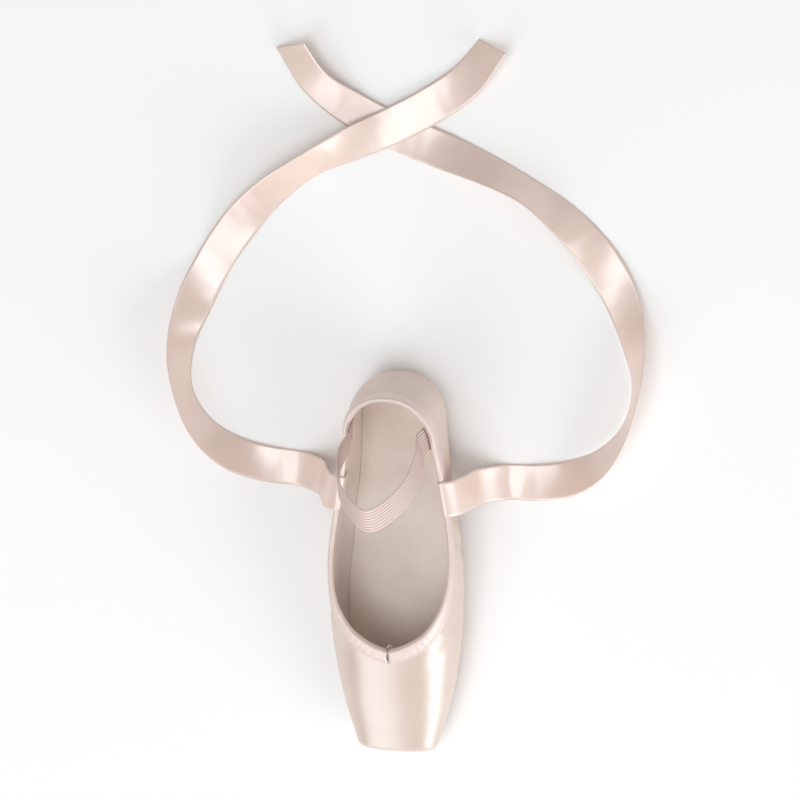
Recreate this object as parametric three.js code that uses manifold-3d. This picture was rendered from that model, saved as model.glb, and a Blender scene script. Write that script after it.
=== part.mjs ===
// A pointe shoe: a satin upper turned under a short leather outsole, with a stiff square-ended toe box,
// an insole, a bound collar with its drawstring, an ankle elastic and two ribbons that lie loose.
// Millimetres. While a piece is made, X runs from the back of the heel to the platform at the toe,
// Y is across and Z is up from the floor. The last has no left or right: both halves are alike.
import * as THREE from "three";
import Module from "manifold-3d";

// Driving dimensions
const SHOE_LENGTH = 234;
const BALL_WIDTH = 80;
const INSTEP_HEIGHT = 80; // of the last, over the waist
const HEEL_HEIGHT = 54;
const HEEL_ROUND = 30; // length over which the heel closes
const TOE_EDGE_RADIUS = 4; // rounding round the platform
const OUTSOLE_THICKNESS = 2;
const CLEARANCE = 0.3;
const SIDE_WALL = 1.6; // satin and canvas
const BOX_WALL = 3; // the same with the paste layers of the toe box between
const TURNED_UNDER = 1.8; // thickness of the upper's pleated margin under the foot
const MARGIN_WIDTH = 9; // how far that margin reaches in under the outsole
const INSOLE_THICKNESS = 2;
const INSOLE_GAP = 0.6; // between it and the lining
const BINDING_WIDTH = 8;
const BINDING_CLOTH = 0.7;
const BINDING_FOLD = 1.4; // from the collar's edge down to the upper's raw edge
const BINDING_GAP = 0.55; // between the binding and the upper
const STRAP_HOLD = 2.2; // from the binding to the middle of a flat strap sewn inside the curved quarter
const DRAWSTRING_GAP = 2.6; // break in the binding at the throat
const DRAWSTRING_DIAMETER = 1.8;
const ELASTIC_WIDTH = 20;
const ELASTIC_THICKNESS = 1.2;
const RIBBON_WIDTH = 22;
const RIBBON_THICKNESS = 0.8;
const FLOOR_GAP = 0.1; // under a ribbon that lies on the floor
const ROUNDNESS = 2.3; // exponent of the superellipse that every section is made of

// The last, a row for each section. at is a share of the shoe's length; width and flat, the level part
// underneath, are shares of the ball width; crown is a share of the instep height. bulge is the height of
// the widest place, and lift how far the underside rises off the floor.
const LAST = [
  { at: 0.0, width: 0.7, flat: 0.43, crown: 1.03, bulge: 17, lift: 0 },
  { at: 0.13, width: 0.715, flat: 0.52, crown: 1.03, bulge: 17, lift: 0 },
  { at: 0.24, width: 0.785, flat: 0.47, crown: 1.03, bulge: 17.5, lift: 0 },
  { at: 0.35, width: 0.88, flat: 0.38, crown: 1.03, bulge: 18, lift: 3.4 },
  { at: 0.45, width: 0.96, flat: 0.45, crown: 0.98, bulge: 18.5, lift: 1.8 },
  { at: 0.51, width: 0.985, flat: 0.55, crown: 0.9, bulge: 18.5, lift: 0.4 },
  { at: 0.58, width: 1.0, flat: 0.64, crown: 0.775, bulge: 18.5, lift: 0 },
  { at: 0.64, width: 0.995, flat: 0.66, crown: 0.675, bulge: 18.5, lift: 0 },
  { at: 0.7, width: 0.968, flat: 0.65, crown: 0.606, bulge: 18, lift: 0 },
  { at: 0.795, width: 0.895, flat: 0.6, crown: 0.53, bulge: 17.5, lift: 0 },
  { at: 0.885, width: 0.785, flat: 0.51, crown: 0.448, bulge: 17, lift: 1 },
  { at: 0.95, width: 0.675, flat: 0.42, crown: 0.392, bulge: 17, lift: 2.6 },
  { at: 1.0, width: 0.59, flat: 0.33, crown: 0.355, bulge: 17, lift: 4 },
];

// Where the collar is cut: how far up the side the edge lies at each section, in degrees of the quarter turn
// from the bulge (0) to the crown (90). The throat is its foremost point.
const THROAT_AT = 0.7;
const COLLAR = [
  { at: 0.0, angle: 31.5 },
  { at: 0.06, angle: 29 },
  { at: 0.15, angle: 22 },
  { at: 0.25, angle: 16.6 },
  { at: 0.35, angle: 15.2 },
  { at: 0.44, angle: 18 },
  { at: 0.51, angle: 24.5 },
  { at: 0.565, angle: 34.5 },
  { at: 0.615, angle: 47.5 },
  { at: 0.65, angle: 59.5 },
  { at: 0.672, angle: 70.5 },
  { at: 0.688, angle: 80.5 },
  { at: THROAT_AT, angle: 90 },
];

// The outsole's outline: width is a share of the ball width, before its two ends are rounded.
const OUTSOLE_BACK = 5;
const OUTSOLE_FRONT = 213;
const OUTSOLE_END_ROUND = { back: 20, front: 26 };
const OUTSOLE = [
  { at: 0.0, width: 0.49 },
  { at: 0.13, width: 0.49 },
  { at: 0.28, width: 0.38 },
  { at: 0.4, width: 0.32 },
  { at: 0.52, width: 0.5 },
  { at: 0.64, width: 0.62 },
  { at: 0.75, width: 0.6 },
  { at: 0.93, width: 0.46 },
];

// The elastic's middle above the collar, on the side y > 0, up to its highest place. turned is how far its
// width has turned from the collar's line to its direction over the ankle.
const ELASTIC_SEWN_AT = 27;
const ELASTIC_BELOW_EDGE = [12, 3, -8];
const ELASTIC = [
  { x: 40, y: 23.5, z: 72, turned: 0.45 },
  { x: 54, y: 18.5, z: 91, turned: 0.8 },
  { x: 66, y: 0, z: 104, turned: 1 },
];

// Where each ribbon's middle goes over the collar and down to the floor, from the collar's edge: forward
// along X, out from the shoe and up.
const RIBBON_SEWN_AT = 70;
const RIBBON_BELOW_EDGE = [13, 4];
const RIBBON_FALL = [
  { forward: 0, out: -2, up: 3.6 },
  { forward: 0, out: 4.6, up: 4 },
  { forward: -0.3, out: 9, up: -3 },
  { forward: -0.8, out: 12.5, up: -15 },
  { forward: -1.4, out: 17, up: -28 },
];

// Where the ribbons lie once they reach the floor, from the shoe to the free end. tilt is how far a ribbon
// stands up on one edge, in degrees: it lies flat where it runs straight and stands up to go round a bend.
// lift raises it over the other ribbon.
const RIGHT_RIBBON = [
  { x: 68, y: 64, tilt: 0 },
  { x: 67, y: 82, tilt: 6 },
  { x: 62, y: 102, tilt: 26 },
  { x: 50, y: 121, tilt: 56 },
  { x: 30, y: 135, tilt: 74 },
  { x: 5, y: 141, tilt: 70 },
  { x: -21, y: 139, tilt: 42 },
  { x: -47, y: 131, tilt: 10 },
  { x: -72, y: 117, tilt: -12 },
  { x: -94, y: 98, tilt: -40 },
  { x: -112, y: 75, tilt: -58 },
  { x: -124, y: 49, tilt: -46 },
  { x: -133, y: 22, tilt: -16 },
  { x: -142, y: -5, tilt: 0 },
  { x: -154, y: -30, tilt: 6 },
  { x: -170, y: -52, tilt: 24 },
  { x: -192, y: -67, tilt: 30 },
];
const LEFT_RIBBON = [
  { x: 67, y: -64, tilt: 0 },
  { x: 65, y: -83, tilt: 8 },
  { x: 58, y: -104, tilt: 34 },
  { x: 43, y: -122, tilt: 62 },
  { x: 21, y: -133, tilt: 74 },
  { x: -5, y: -135, tilt: 56 },
  { x: -32, y: -128, tilt: 22 },
  { x: -58, y: -116, tilt: 0 },
  { x: -83, y: -99, tilt: 10 },
  { x: -104, y: -79, tilt: 34 },
  { x: -121, y: -56, tilt: 44, lift: 0.6 },
  { x: -134, y: -31, tilt: 22, lift: 2.4 },
  { x: -146, y: -6, tilt: 2, lift: 3.2 },
  { x: -159, y: 17, tilt: 0, lift: 2.4 },
  { x: -175, y: 38, tilt: -16, lift: 0.6 },
  { x: -196, y: 54, tilt: -34 },
];

const COLOURS = {
  satin: 0xf0dcd2,
  binding: 0xecd2c8,
  leather: 0xe6d0c2,
  insole: 0xefe6da,
  elastic: 0xe4c6bb,
  ribbon: 0xf2d8ce,
  cord: 0xe8cfc4,
};

// ---- Reading the tables -------------------------------------------------------------------------------

// The value of a column at a share of the length, on a smooth curve that never passes its neighbouring rows.
function read(table, column, share) {
  const last = table.length - 1;
  if (share <= table[0].at) return table[0][column];
  if (share >= table[last].at) return table[last][column];
  const k = table.findIndex((row) => row.at > share) - 1;
  const slope = (i) => {
    const run = table[i + 1].at - table[i].at;
    return (table[i + 1][column] - table[i][column]) / run;
  };
  const tangent = (i) => {
    if (i === 0 || i === last) return slope(Math.min(i, last - 1));
    const [before, after] = [slope(i - 1), slope(i)];
    return before * after <= 0 ? 0 : (2 * before * after) / (before + after);
  };
  const run = table[k + 1].at - table[k].at;
  const t = (share - table[k].at) / run;
  const [a, b] = [table[k][column], table[k + 1][column]];
  return (
    a * (1 + 2 * t) * (1 - t) ** 2 +
    b * t * t * (3 - 2 * t) +
    run * (tangent(k) * t * (1 - t) ** 2 - tangent(k + 1) * t * t * (1 - t))
  );
}

const smoothstep = (t) => THREE.MathUtils.smoothstep(t, 0, 1);
const roundedEnd = (t) =>
  t >= 1 ? 1 : (1 - (1 - Math.max(t, 0)) ** ROUNDNESS) ** (1 / ROUNDNESS);

// ---- The last as a surface ----------------------------------------------------------------------------

const wallAt = (s) =>
  THREE.MathUtils.lerp(
    SIDE_WALL,
    BOX_WALL,
    smoothstep((s / SHOE_LENGTH - 0.66) / 0.14),
  );

// Surfaces parallel to the last's: side is how far each stands outside it, under the same below the foot.
const OUTSIDE = { side: () => 0, under: 0 };
const LINING = { side: (s) => -wallAt(s), under: -TURNED_UNDER };

// The sizes of the section at station s, on a surface parallel to the last's.
function section(s, surface) {
  const share = s / SHOE_LENGTH;
  const side = surface.side(s);
  const end = TOE_EDGE_RADIUS;
  const edge = Math.min(1, Math.max(0, (s - SHOE_LENGTH + end) / end));
  const edgeInset = end * (1 - Math.sqrt(1 - edge * edge));
  const heel = roundedEnd(s / HEEL_ROUND);
  const value = (column) => read(LAST, column, share);
  const bottom =
    OUTSOLE_THICKNESS +
    CLEARANCE +
    value("lift") -
    surface.under +
    edgeInset;
  return {
    bottom,
    bulge: value("bulge"),
    crown: INSTEP_HEIGHT * value("crown") + side - edgeInset,
    half: ((BALL_WIDTH / 2) * value("width") + side - edgeInset) * heel,
    flat: ((BALL_WIDTH / 2) * value("flat") + side / 2) * heel,
  };
}

// A place on the surface. v runs round one half of the section: 0 to 1 is the flat from the middle outwards,
// 1 to 2 the rounding up to the bulge, and 2 to 3 the rest of the way up to the crown.
function place(s, v, surface) {
  const { bottom, bulge, crown, half, flat } = section(s, surface);
  const bend = (value) => Math.max(value, 0) ** (2 / ROUNDNESS);
  let y = flat * v;
  let z = bottom;
  if (v > 2) {
    const angle = ((v - 2) * Math.PI) / 2;
    y = half * bend(Math.cos(angle));
    z = bulge + (crown - bulge) * bend(Math.sin(angle));
  } else if (v > 1) {
    const angle = ((v - 1) * Math.PI) / 2;
    y = flat + (half - flat) * bend(Math.sin(angle));
    z = bulge - (bulge - bottom) * bend(Math.cos(angle));
  }
  const heelIn = -surface.side(0);
  const toeIn = -surface.side(SHOE_LENGTH);
  const x = heelIn + (s * (SHOE_LENGTH - heelIn - toeIn)) / SHOE_LENGTH;
  return new THREE.Vector3(x + heelCurve(z, bulge, s), y, z);
}

// The back of the heel leans forward above its bulge and is rounded under below it.
function heelCurve(z, bulge, s) {
  const above = Math.max(0, z - bulge) / (HEEL_HEIGHT - bulge);
  const below = Math.max(0, bulge - z) / bulge;
  const lean = 7 * above * above + 7 * below ** 3;
  return lean * (1 - smoothstep(s / 60));
}

const stationOf = (share) => share * SHOE_LENGTH;

// ---- The collar ---------------------------------------------------------------------------------------

const THROAT = stationOf(THROAT_AT);

// How far round the section the collar is cut at station s.
function collarV(s) {
  return 2 + read(COLLAR, "angle", s / SHOE_LENGTH) / 90;
}

// The collar's line over one half of the shoe, from throat to heel, as evenly spaced places on the last.
function collarLine(steps) {
  const fine = 600;
  const trail = [];
  for (let i = 0; i <= fine; i++) {
    const t = i / fine;
    const s = THROAT * (1 - t * t);
    trail.push({ s, v: i === 0 ? 3 : collarV(s) });
  }
  const points = trail.map(({ s, v }) => place(s, v, OUTSIDE));
  const along = [0];
  for (let i = 1; i <= fine; i++)
    along.push(along[i - 1] + points[i].distanceTo(points[i - 1]));
  const line = [];
  for (let j = 0; j <= steps; j++) {
    const target = (along[fine] * j) / steps;
    const i = Math.max(1, along.findIndex((a) => a >= target - 1e-9));
    const t = (target - along[i - 1]) / (along[i] - along[i - 1]);
    line.push({
      s: THREE.MathUtils.lerp(trail[i - 1].s, trail[i].s, t),
      v: THREE.MathUtils.lerp(trail[i - 1].v, trail[i].v, t),
    });
  }
  return line;
}

// The collar's line moved down over the surface by a distance, square to itself.
function movedDown(line, distance) {
  const step = 0.5;
  const small = 0.02;
  let moved = line.map((p) => ({ ...p }));
  for (let gone = 0; gone < distance - 1e-9; gone += step) {
    const reach = Math.min(step, distance - gone);
    moved = moved.map(({ s, v }, i) => {
      const before = moved[Math.max(0, i - 1)];
      const after = moved[Math.min(moved.length - 1, i + 1)];
      const tangent = place(after.s, after.v, OUTSIDE).sub(
        place(before.s, before.v, OUTSIDE),
      );
      if (i === 0) tangent.set(0, 1, 0);
      if (i === moved.length - 1) tangent.set(0, -1, 0);
      tangent.normalize();
      const safeV = Math.min(v, 3 - small);
      const safeS = Math.max(s, small);
      const here = place(safeS, safeV, OUTSIDE);
      const alongS = place(safeS + small, safeV, OUTSIDE).sub(here);
      const alongV = place(safeS, safeV - small, OUTSIDE).sub(here);
      alongS.divideScalar(small);
      alongV.divideScalar(small);
      const a = alongS.dot(tangent);
      const b = alongV.dot(tangent);
      // The direction in the surface that is square to the tangent and points away from the opening
      let [ds, dv] = [b, -a];
      const down = alongS
        .clone()
        .multiplyScalar(ds)
        .addScaledVector(alongV, dv);
      const sign = down.z - 0.001 * ds < 0 ? 1 : -1;
      const scale = (sign * reach) / down.length();
      if (i === 0) return { s: s + reach / alongS.length(), v: 3 };
      if (i === moved.length - 1)
        return { s: 0, v: v - reach / alongV.length() };
      return { s: s + ds * scale, v: v - dv * scale };
    });
  }
  return moved;
}

// ---- Building meshes ----------------------------------------------------------------------------------

// Collects faces by position, so that corners in the same place are one vertex.
class Faces {
  vertices = [];
  triangles = [];
  known = new Map();

  vertex({ x, y, z }) {
    const rounded = [x, y, z].map((value) => Math.round(value * 1000) / 1000);
    const key = rounded.map((value) => value + 0).join(" ");
    if (!this.known.has(key)) {
      this.known.set(key, this.known.size);
      this.vertices.push(...rounded);
    }
    return this.known.get(key);
  }

  triangle(a, b, c) {
    const [i, j, k] = [a, b, c].map((p) => this.vertex(p));
    if (i !== j && j !== k && k !== i) this.triangles.push(i, j, k);
  }

  quad(a, b, c, d) {
    this.triangle(a, b, c);
    this.triangle(a, c, d);
  }

  geometry() {
    const made = new THREE.BufferGeometry();
    made.setAttribute(
      "position",
      new THREE.Float32BufferAttribute(this.vertices, 3),
    );
    made.setIndex(this.triangles);
    made.computeVertexNormals();
    return made;
  }
}

// A closed solid through a row of rings that all have the same, even number of corners. Faces in the ring's
// second half are split the other way, so that the two sides of a thin twisted piece stay parallel. Its two
// ends are closed by joining each corner of the ring's first half to the one across from it.
function loft(rings) {
  const faces = new Faces();
  const count = rings[0].length;
  for (let i = 1; i < rings.length; i++)
    for (let j = 0; j < count; j++) {
      const k = (j + 1) % count;
      const [before, after] = [rings[i - 1], rings[i]];
      if (j < count / 2) faces.quad(before[j], before[k], after[k], after[j]);
      else faces.quad(before[k], after[k], after[j], before[j]);
    }
  const cap = (ring, ahead) => {
    for (let j = 0; j < count / 2 - 1; j++) {
      const [a, b] = [ring[j], ring[j + 1]];
      const [c, d] = [ring[count - 2 - j], ring[count - 1 - j]];
      if (ahead) faces.quad(a, b, c, d);
      else faces.quad(d, c, b, a);
    }
  };
  cap(rings[0], false);
  cap(rings[rings.length - 1], true);
  return faces.geometry();
}

const mirrored = (p) => new THREE.Vector3(p.x, -p.y, p.z);

function part(name, geometry, colour, roughness) {
  const material = new THREE.MeshStandardMaterial({
    color: colour,
    roughness,
    metalness: 0,
    flatShading: true,
  });
  const mesh = new THREE.Mesh(geometry, material);
  mesh.name = name;
  return mesh;
}

// ---- Outsole ------------------------------------------------------------------------------------------

// Half the outsole's width at station s, with both ends rounded.
function outsoleHalf(s, inset = 0) {
  const back = (s - OUTSOLE_BACK - inset) / (OUTSOLE_END_ROUND.back - inset);
  const front = (OUTSOLE_FRONT - inset - s) / (OUTSOLE_END_ROUND.front - inset);
  const width = (BALL_WIDTH / 2) * read(OUTSOLE, "width", s / SHOE_LENGTH);
  return (width - inset) * roundedEnd(back) * roundedEnd(front);
}

// Stations closer together at the two rounded ends of a stretch.
function stationsBetween(from, to, count) {
  return Array.from({ length: count + 1 }, (_, i) => {
    const t = i / count;
    const eased = 0.55 * t + 0.45 * (0.5 - Math.cos(Math.PI * t) / 2);
    return THREE.MathUtils.lerp(from, to, eased);
  });
}

function outsole() {
  const skive = { width: 1.2, height: 0.9 }; // bevel round the upper edge
  const rings = stationsBetween(OUTSOLE_BACK, OUTSOLE_FRONT, 52).map((s) => {
    const half = Math.max(outsoleHalf(s), 0.05);
    const floor = read(LAST, "lift", s / SHOE_LENGTH);
    const skived = Math.max(half - skive.width, half * 0.5);
    const corner = (y, z) => new THREE.Vector3(s, y, floor + z);
    return [
      corner(skived, OUTSOLE_THICKNESS),
      corner(half, OUTSOLE_THICKNESS - skive.height),
      corner(half, 0),
      corner(-half, 0),
      corner(-half, OUTSOLE_THICKNESS - skive.height),
      corner(-skived, OUTSOLE_THICKNESS),
    ].reverse();
  });
  return part("outsole", loft(rings), COLOURS.leather, 0.7);
}

// ---- Upper --------------------------------------------------------------------------------------------

// Stations over the whole shoe: close together round the heel, at the throat and round the platform's edge.
function upperStations() {
  const heel = Array.from(
    { length: 8 },
    (_, i) => HEEL_ROUND * (1 - Math.cos((i * Math.PI) / 16)),
  );
  const body = Array.from({ length: 15 }, (_, i) => HEEL_ROUND + i * 7.6);
  const throat = [-21, -16, -12, -8.4, -5.3, -2.8, -1, 1.5, 5];
  const vamp = [10, 17, 25, 33, 41, 49, 57];
  const edge = Array.from(
    { length: 5 },
    (_, i) =>
      SHOE_LENGTH - TOE_EDGE_RADIUS * (1 - Math.sin((i * Math.PI) / 8)),
  );
  const front = [...throat, ...vamp].map((ahead) => THROAT + ahead);
  return [...heel, ...body, ...front, ...edge];
}

// The upper is one shell from the margin under the foot up to the collar. Each half is a net of stations by
// steps round the section, once on the outside and once on the lining.
function upper() {
  const round = 17;
  const under = 2; // of those steps, the ones that lie under the foot
  const rim = movedDown(collarLine(120), BINDING_FOLD);
  const throatEnd = rim[0].s;
  const rimV = (s) => {
    if (s >= throatEnd - 1e-6) return 3;
    const i = rim.findIndex((p, k) => k > 0 && p.s <= s);
    const t = (s - rim[i].s) / (rim[i - 1].s - rim[i].s);
    return THREE.MathUtils.lerp(rim[i].v, rim[i - 1].v, t);
  };
  const holeV = (s) => {
    const half = outsoleHalf(s, MARGIN_WIDTH);
    return half > 0 ? half / section(s, OUTSIDE).flat : 0;
  };
  const hole = [OUTSOLE_BACK, OUTSOLE_FRONT].map((s, i) =>
    i === 0 ? s + MARGIN_WIDTH : s - MARGIN_WIDTH,
  );
  const stations = [...upperStations(), throatEnd, ...hole].sort(
    (a, b) => a - b,
  );
  const net = (surface) =>
    stations.map((s) => {
      const inHole = s > hole[0] && s < hole[1];
      const from = inHole ? holeV(s) : 0;
      const to = rimV(s);
      return Array.from({ length: round + 1 }, (_, k) => {
        const v =
          k < under
            ? from + ((1 - from) * k) / under
            : 1 + ((to - 1) * (k - under)) / (round - under);
        return place(s, v, surface);
      });
    });
  const [outer, inner] = [net(OUTSIDE), net(LINING)];
  const faces = new Faces();
  const bothHalves = (a, b, c, d) => {
    faces.quad(d, c, b, a);
    faces.quad(...[d, a, b, c].map(mirrored));
  };
  for (let i = 1; i < stations.length; i++) {
    for (let k = 1; k <= round; k++) {
      bothHalves(
        outer[i - 1][k - 1],
        outer[i][k - 1],
        outer[i][k],
        outer[i - 1][k],
      );
      bothHalves(
        inner[i - 1][k],
        inner[i][k],
        inner[i][k - 1],
        inner[i - 1][k - 1],
      );
    }
    if (stations[i] <= throatEnd + 1e-6)
      bothHalves(
        outer[i - 1][round],
        outer[i][round],
        inner[i][round],
        inner[i - 1][round],
      );
    if (stations[i - 1] >= hole[0] && stations[i] <= hole[1])
      bothHalves(inner[i - 1][0], inner[i][0], outer[i][0], outer[i - 1][0]);
  }
  closePlatform(faces, outer[stations.length - 1], true);
  closePlatform(faces, inner[stations.length - 1], false);
  return part("upper", faces.geometry(), COLOURS.satin, 0.35);
}

// The flat end of the toe, as a fan from its middle.
function closePlatform(faces, edge, facingForward) {
  const [low, high] = [edge[0], edge[edge.length - 1]];
  const middle = low.clone().lerp(high, 0.5);
  for (let k = 1; k < edge.length; k++) {
    const pair = [edge[k - 1], edge[k]];
    if (!facingForward) pair.reverse();
    faces.triangle(middle, pair[0], pair[1]);
    faces.triangle(middle, mirrored(pair[1]), mirrored(pair[0]));
  }
}

// ---- Insole -------------------------------------------------------------------------------------------

// The insole fills the bottom of the shoe from wall to wall, on top of the upper's margin.
function insole() {
  const surface = {
    side: (s) => -wallAt(s) - INSOLE_GAP,
    under: -TURNED_UNDER - INSOLE_GAP,
  };
  const around = 6;
  const inside = upperStations().filter((s) => s > 3 && s < 217);
  const rings = inside.map((s) => {
    const { bottom, bulge } = section(s, surface);
    const rise = INSOLE_THICKNESS / (bulge - bottom);
    const topV = 1 + (Math.acos((1 - rise) ** (ROUNDNESS / 2)) * 2) / Math.PI;
    const half = [];
    for (let k = 1; k <= around; k++)
      half.push(place(s, (topV * k) / around, surface));
    return [...half, ...half.map(mirrored).reverse()];
  });
  return part("insole", loft(rings), COLOURS.insole, 0.8);
}

// ---- Binding and drawstring ---------------------------------------------------------------------------

// A strip of cloth folded over the collar's edge, half on the outside and half on the lining, with a break
// at the throat where the drawstring comes out.
function binding() {
  const line = collarLine(34);
  const depths = [0, BINDING_FOLD - BINDING_GAP, 4, BINDING_WIDTH];
  const rows = depths.map((depth) => movedDown(line, depth));
  const standing = (offset) => ({ side: offset, under: 0 });
  const faces = {
    outer: standing(() => BINDING_GAP + BINDING_CLOTH),
    outerBack: standing(() => BINDING_GAP),
    innerBack: standing((s) => -wallAt(s) - BINDING_GAP),
    inner: standing((s) => -wallAt(s) - BINDING_GAP - BINDING_CLOTH),
  };
  const at = (row, i, face) => place(rows[row][i].s, rows[row][i].v, face);
  const ring = (i) => {
    const [upOut, upIn] = [at(0, i, faces.outer), at(0, i, faces.inner)];
    const [out, back] = [at(1, i, faces.outer), at(1, i, faces.inner)];
    return [
      back,
      at(2, i, faces.inner),
      at(3, i, faces.inner),
      at(3, i, faces.innerBack),
      at(2, i, faces.innerBack),
      at(1, i, faces.innerBack),
      at(1, i, faces.outerBack),
      at(2, i, faces.outerBack),
      at(3, i, faces.outerBack),
      at(3, i, faces.outer),
      at(2, i, faces.outer),
      out,
      upOut.clone().lerp(out, 0.3).lerp(upIn, 0.12),
      upIn.clone().lerp(back, 0.3).lerp(upOut, 0.12),
    ];
  };
  const half = Array.from({ length: line.length }, (_, i) => ring(i));
  const heel = half[half.length - 1].map((p) => p.clone().setY(0));
  const first = half[1].map((p, k) => {
    const centre = half[0][k];
    const t = DRAWSTRING_GAP / 2 / Math.max(p.y, 1e-6);
    return centre.clone().lerp(p, Math.min(t, 1));
  });
  const right = [first, ...half.slice(1, -1)];
  const left = right.map((r) => r.map(mirrored));
  const all = [...right, heel, ...left.reverse()];
  return part("binding", bindingLoft(all), COLOURS.binding, 0.4);
}

// The folded strip's ends are closed in two legs and the bridge between them.
function bindingLoft(rings) {
  const faces = new Faces();
  const count = rings[0].length;
  for (let i = 1; i < rings.length; i++)
    for (let j = 0; j < count; j++) {
      const k = (j + 1) % count;
      faces.quad(rings[i][j], rings[i][k], rings[i - 1][k], rings[i - 1][j]);
    }
  const quads = [
    [0, 1, 4, 5],
    [1, 2, 3, 4],
    [6, 7, 10, 11],
    [7, 8, 9, 10],
    [0, 5, 6, 11],
    [0, 11, 12, 13],
  ];
  for (const corners of quads) {
    faces.quad(...corners.map((j) => rings[0][j]));
    faces.quad(...corners.map((j) => rings[rings.length - 1][j]).reverse());
  }
  return faces.geometry();
}

// The drawstring's knot lies inside the throat, with two cut tails tucked under the vamp.
function drawstring(wasm) {
  const radius = DRAWSTRING_DIAMETER / 2;
  const below = new THREE.Vector3(1.5, 0, -4.6);
  const knotAt = place(THROAT, 3, LINING).add(below);
  const solid = (geometry) => {
    const faces = new Faces();
    const position = geometry.getAttribute("position");
    const corner = (i) =>
      new THREE.Vector3().fromBufferAttribute(position, geometry.index.getX(i));
    for (let i = 0; i < geometry.index.count; i += 3)
      faces.triangle(corner(i), corner(i + 1), corner(i + 2));
    return new wasm.Manifold(
      new wasm.Mesh({
        numProp: 3,
        vertProperties: new Float32Array(faces.vertices),
        triVerts: new Uint32Array(faces.triangles),
      }),
    );
  };
  const knot = new THREE.SphereGeometry(radius * 1.7, 12, 8);
  knot.scale(0.9, 1.2, 0.9).translate(knotAt.x, knotAt.y, knotAt.z);
  let whole = solid(knot);
  for (const side of [1, -1]) {
    const end = new THREE.Vector3(15, side * 7, -6.5);
    const tail = new THREE.CapsuleGeometry(radius, end.length(), 4, 10);
    tail.translate(0, end.length() / 2, 0);
    tail.applyQuaternion(
      new THREE.Quaternion().setFromUnitVectors(
        new THREE.Vector3(0, 1, 0),
        end.clone().normalize(),
      ),
    );
    tail.translate(knotAt.x, knotAt.y, knotAt.z);
    whole = whole.add(solid(tail));
  }
  const mesh = whole.getMesh();
  const geometry = new THREE.BufferGeometry();
  geometry.setAttribute(
    "position",
    new THREE.Float32BufferAttribute(mesh.vertProperties, 3),
  );
  geometry.setIndex([...mesh.triVerts]);
  geometry.computeVertexNormals();
  return part("drawstring", geometry, COLOURS.cord, 0.6);
}

// ---- Straps: the elastic and the ribbons --------------------------------------------------------------

// A flat strap along a smooth line through rows of { at, across }: a place on its middle and the direction
// of its width there. No part of it dips below the floor.
function strap(rows, width, thickness, steps) {
  const middle = new THREE.CatmullRomCurve3(
    rows.map((row) => row.at),
    false,
    "centripetal",
  );
  const rings = Array.from({ length: steps + 1 }, (_, i) => {
    const t = middle.getUtoTmapping(i / steps);
    const along = t * (rows.length - 1);
    const k = Math.min(Math.floor(along), rows.length - 2);
    const tangent = middle.getTangent(t);
    const across = rows[k].across.clone().lerp(rows[k + 1].across, along - k);
    across.addScaledVector(tangent, -across.dot(tangent)).setLength(width / 2);
    const up = tangent.clone().cross(across).setLength(thickness / 2);
    const centre = middle.getPoint(t);
    const lowest = centre.z - Math.abs(across.z) - Math.abs(up.z);
    centre.z += Math.max(0, FLOOR_GAP - lowest);
    const corner = (a, b) =>
      centre.clone().addScaledVector(across, a).addScaledVector(up, b);
    return [corner(1, 1), corner(-1, 1), corner(-1, -1), corner(1, -1)];
  });
  return loft(rings);
}

// The direction of the collar's edge at a station, on the side y > 0, pointing to the toe.
function collarTangent(s) {
  const ahead = place(s + 2, collarV(s + 2), LINING);
  return ahead.sub(place(s - 2, collarV(s - 2), LINING)).normalize();
}

// Where the middle of a strap sewn inside the collar lies, so far below or above the collar's edge.
function insideCollar(s, below) {
  const hold = BINDING_GAP + BINDING_CLOTH + STRAP_HOLD;
  const surface = { side: (t) => -wallAt(t) - hold, under: 0 };
  const edge = place(s, collarV(s), surface);
  const lower = place(s, collarV(s) - 0.2, surface);
  const up = edge.clone().sub(lower).normalize();
  return edge.addScaledVector(up, -below);
}

// A ribbed elastic band, sewn inside both quarters at the heel, that stands up over the collar and leans
// forward as it does over an ankle.
function elastic() {
  const sewn = collarTangent(ELASTIC_SEWN_AT);
  const overAnkle = new THREE.Vector3(0.82, 0, -0.57);
  const half = [
    ...ELASTIC_BELOW_EDGE.map((below) => ({
      at: insideCollar(ELASTIC_SEWN_AT, below),
      across: sewn,
    })),
    ...ELASTIC.map(({ x, y, z, turned }) => ({
      at: new THREE.Vector3(x, y, z),
      across: sewn.clone().lerp(overAnkle, turned),
    })),
  ];
  const other = half.slice(0, -1).map((row) => ({
    at: mirrored(row.at),
    across: mirrored(row.across),
  }));
  const rows = [...half, ...other.reverse()];
  const geometry = strap(rows, ELASTIC_WIDTH, ELASTIC_THICKNESS, 44);
  return part("elastic", geometry, COLOURS.elastic, 0.7);
}

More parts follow.
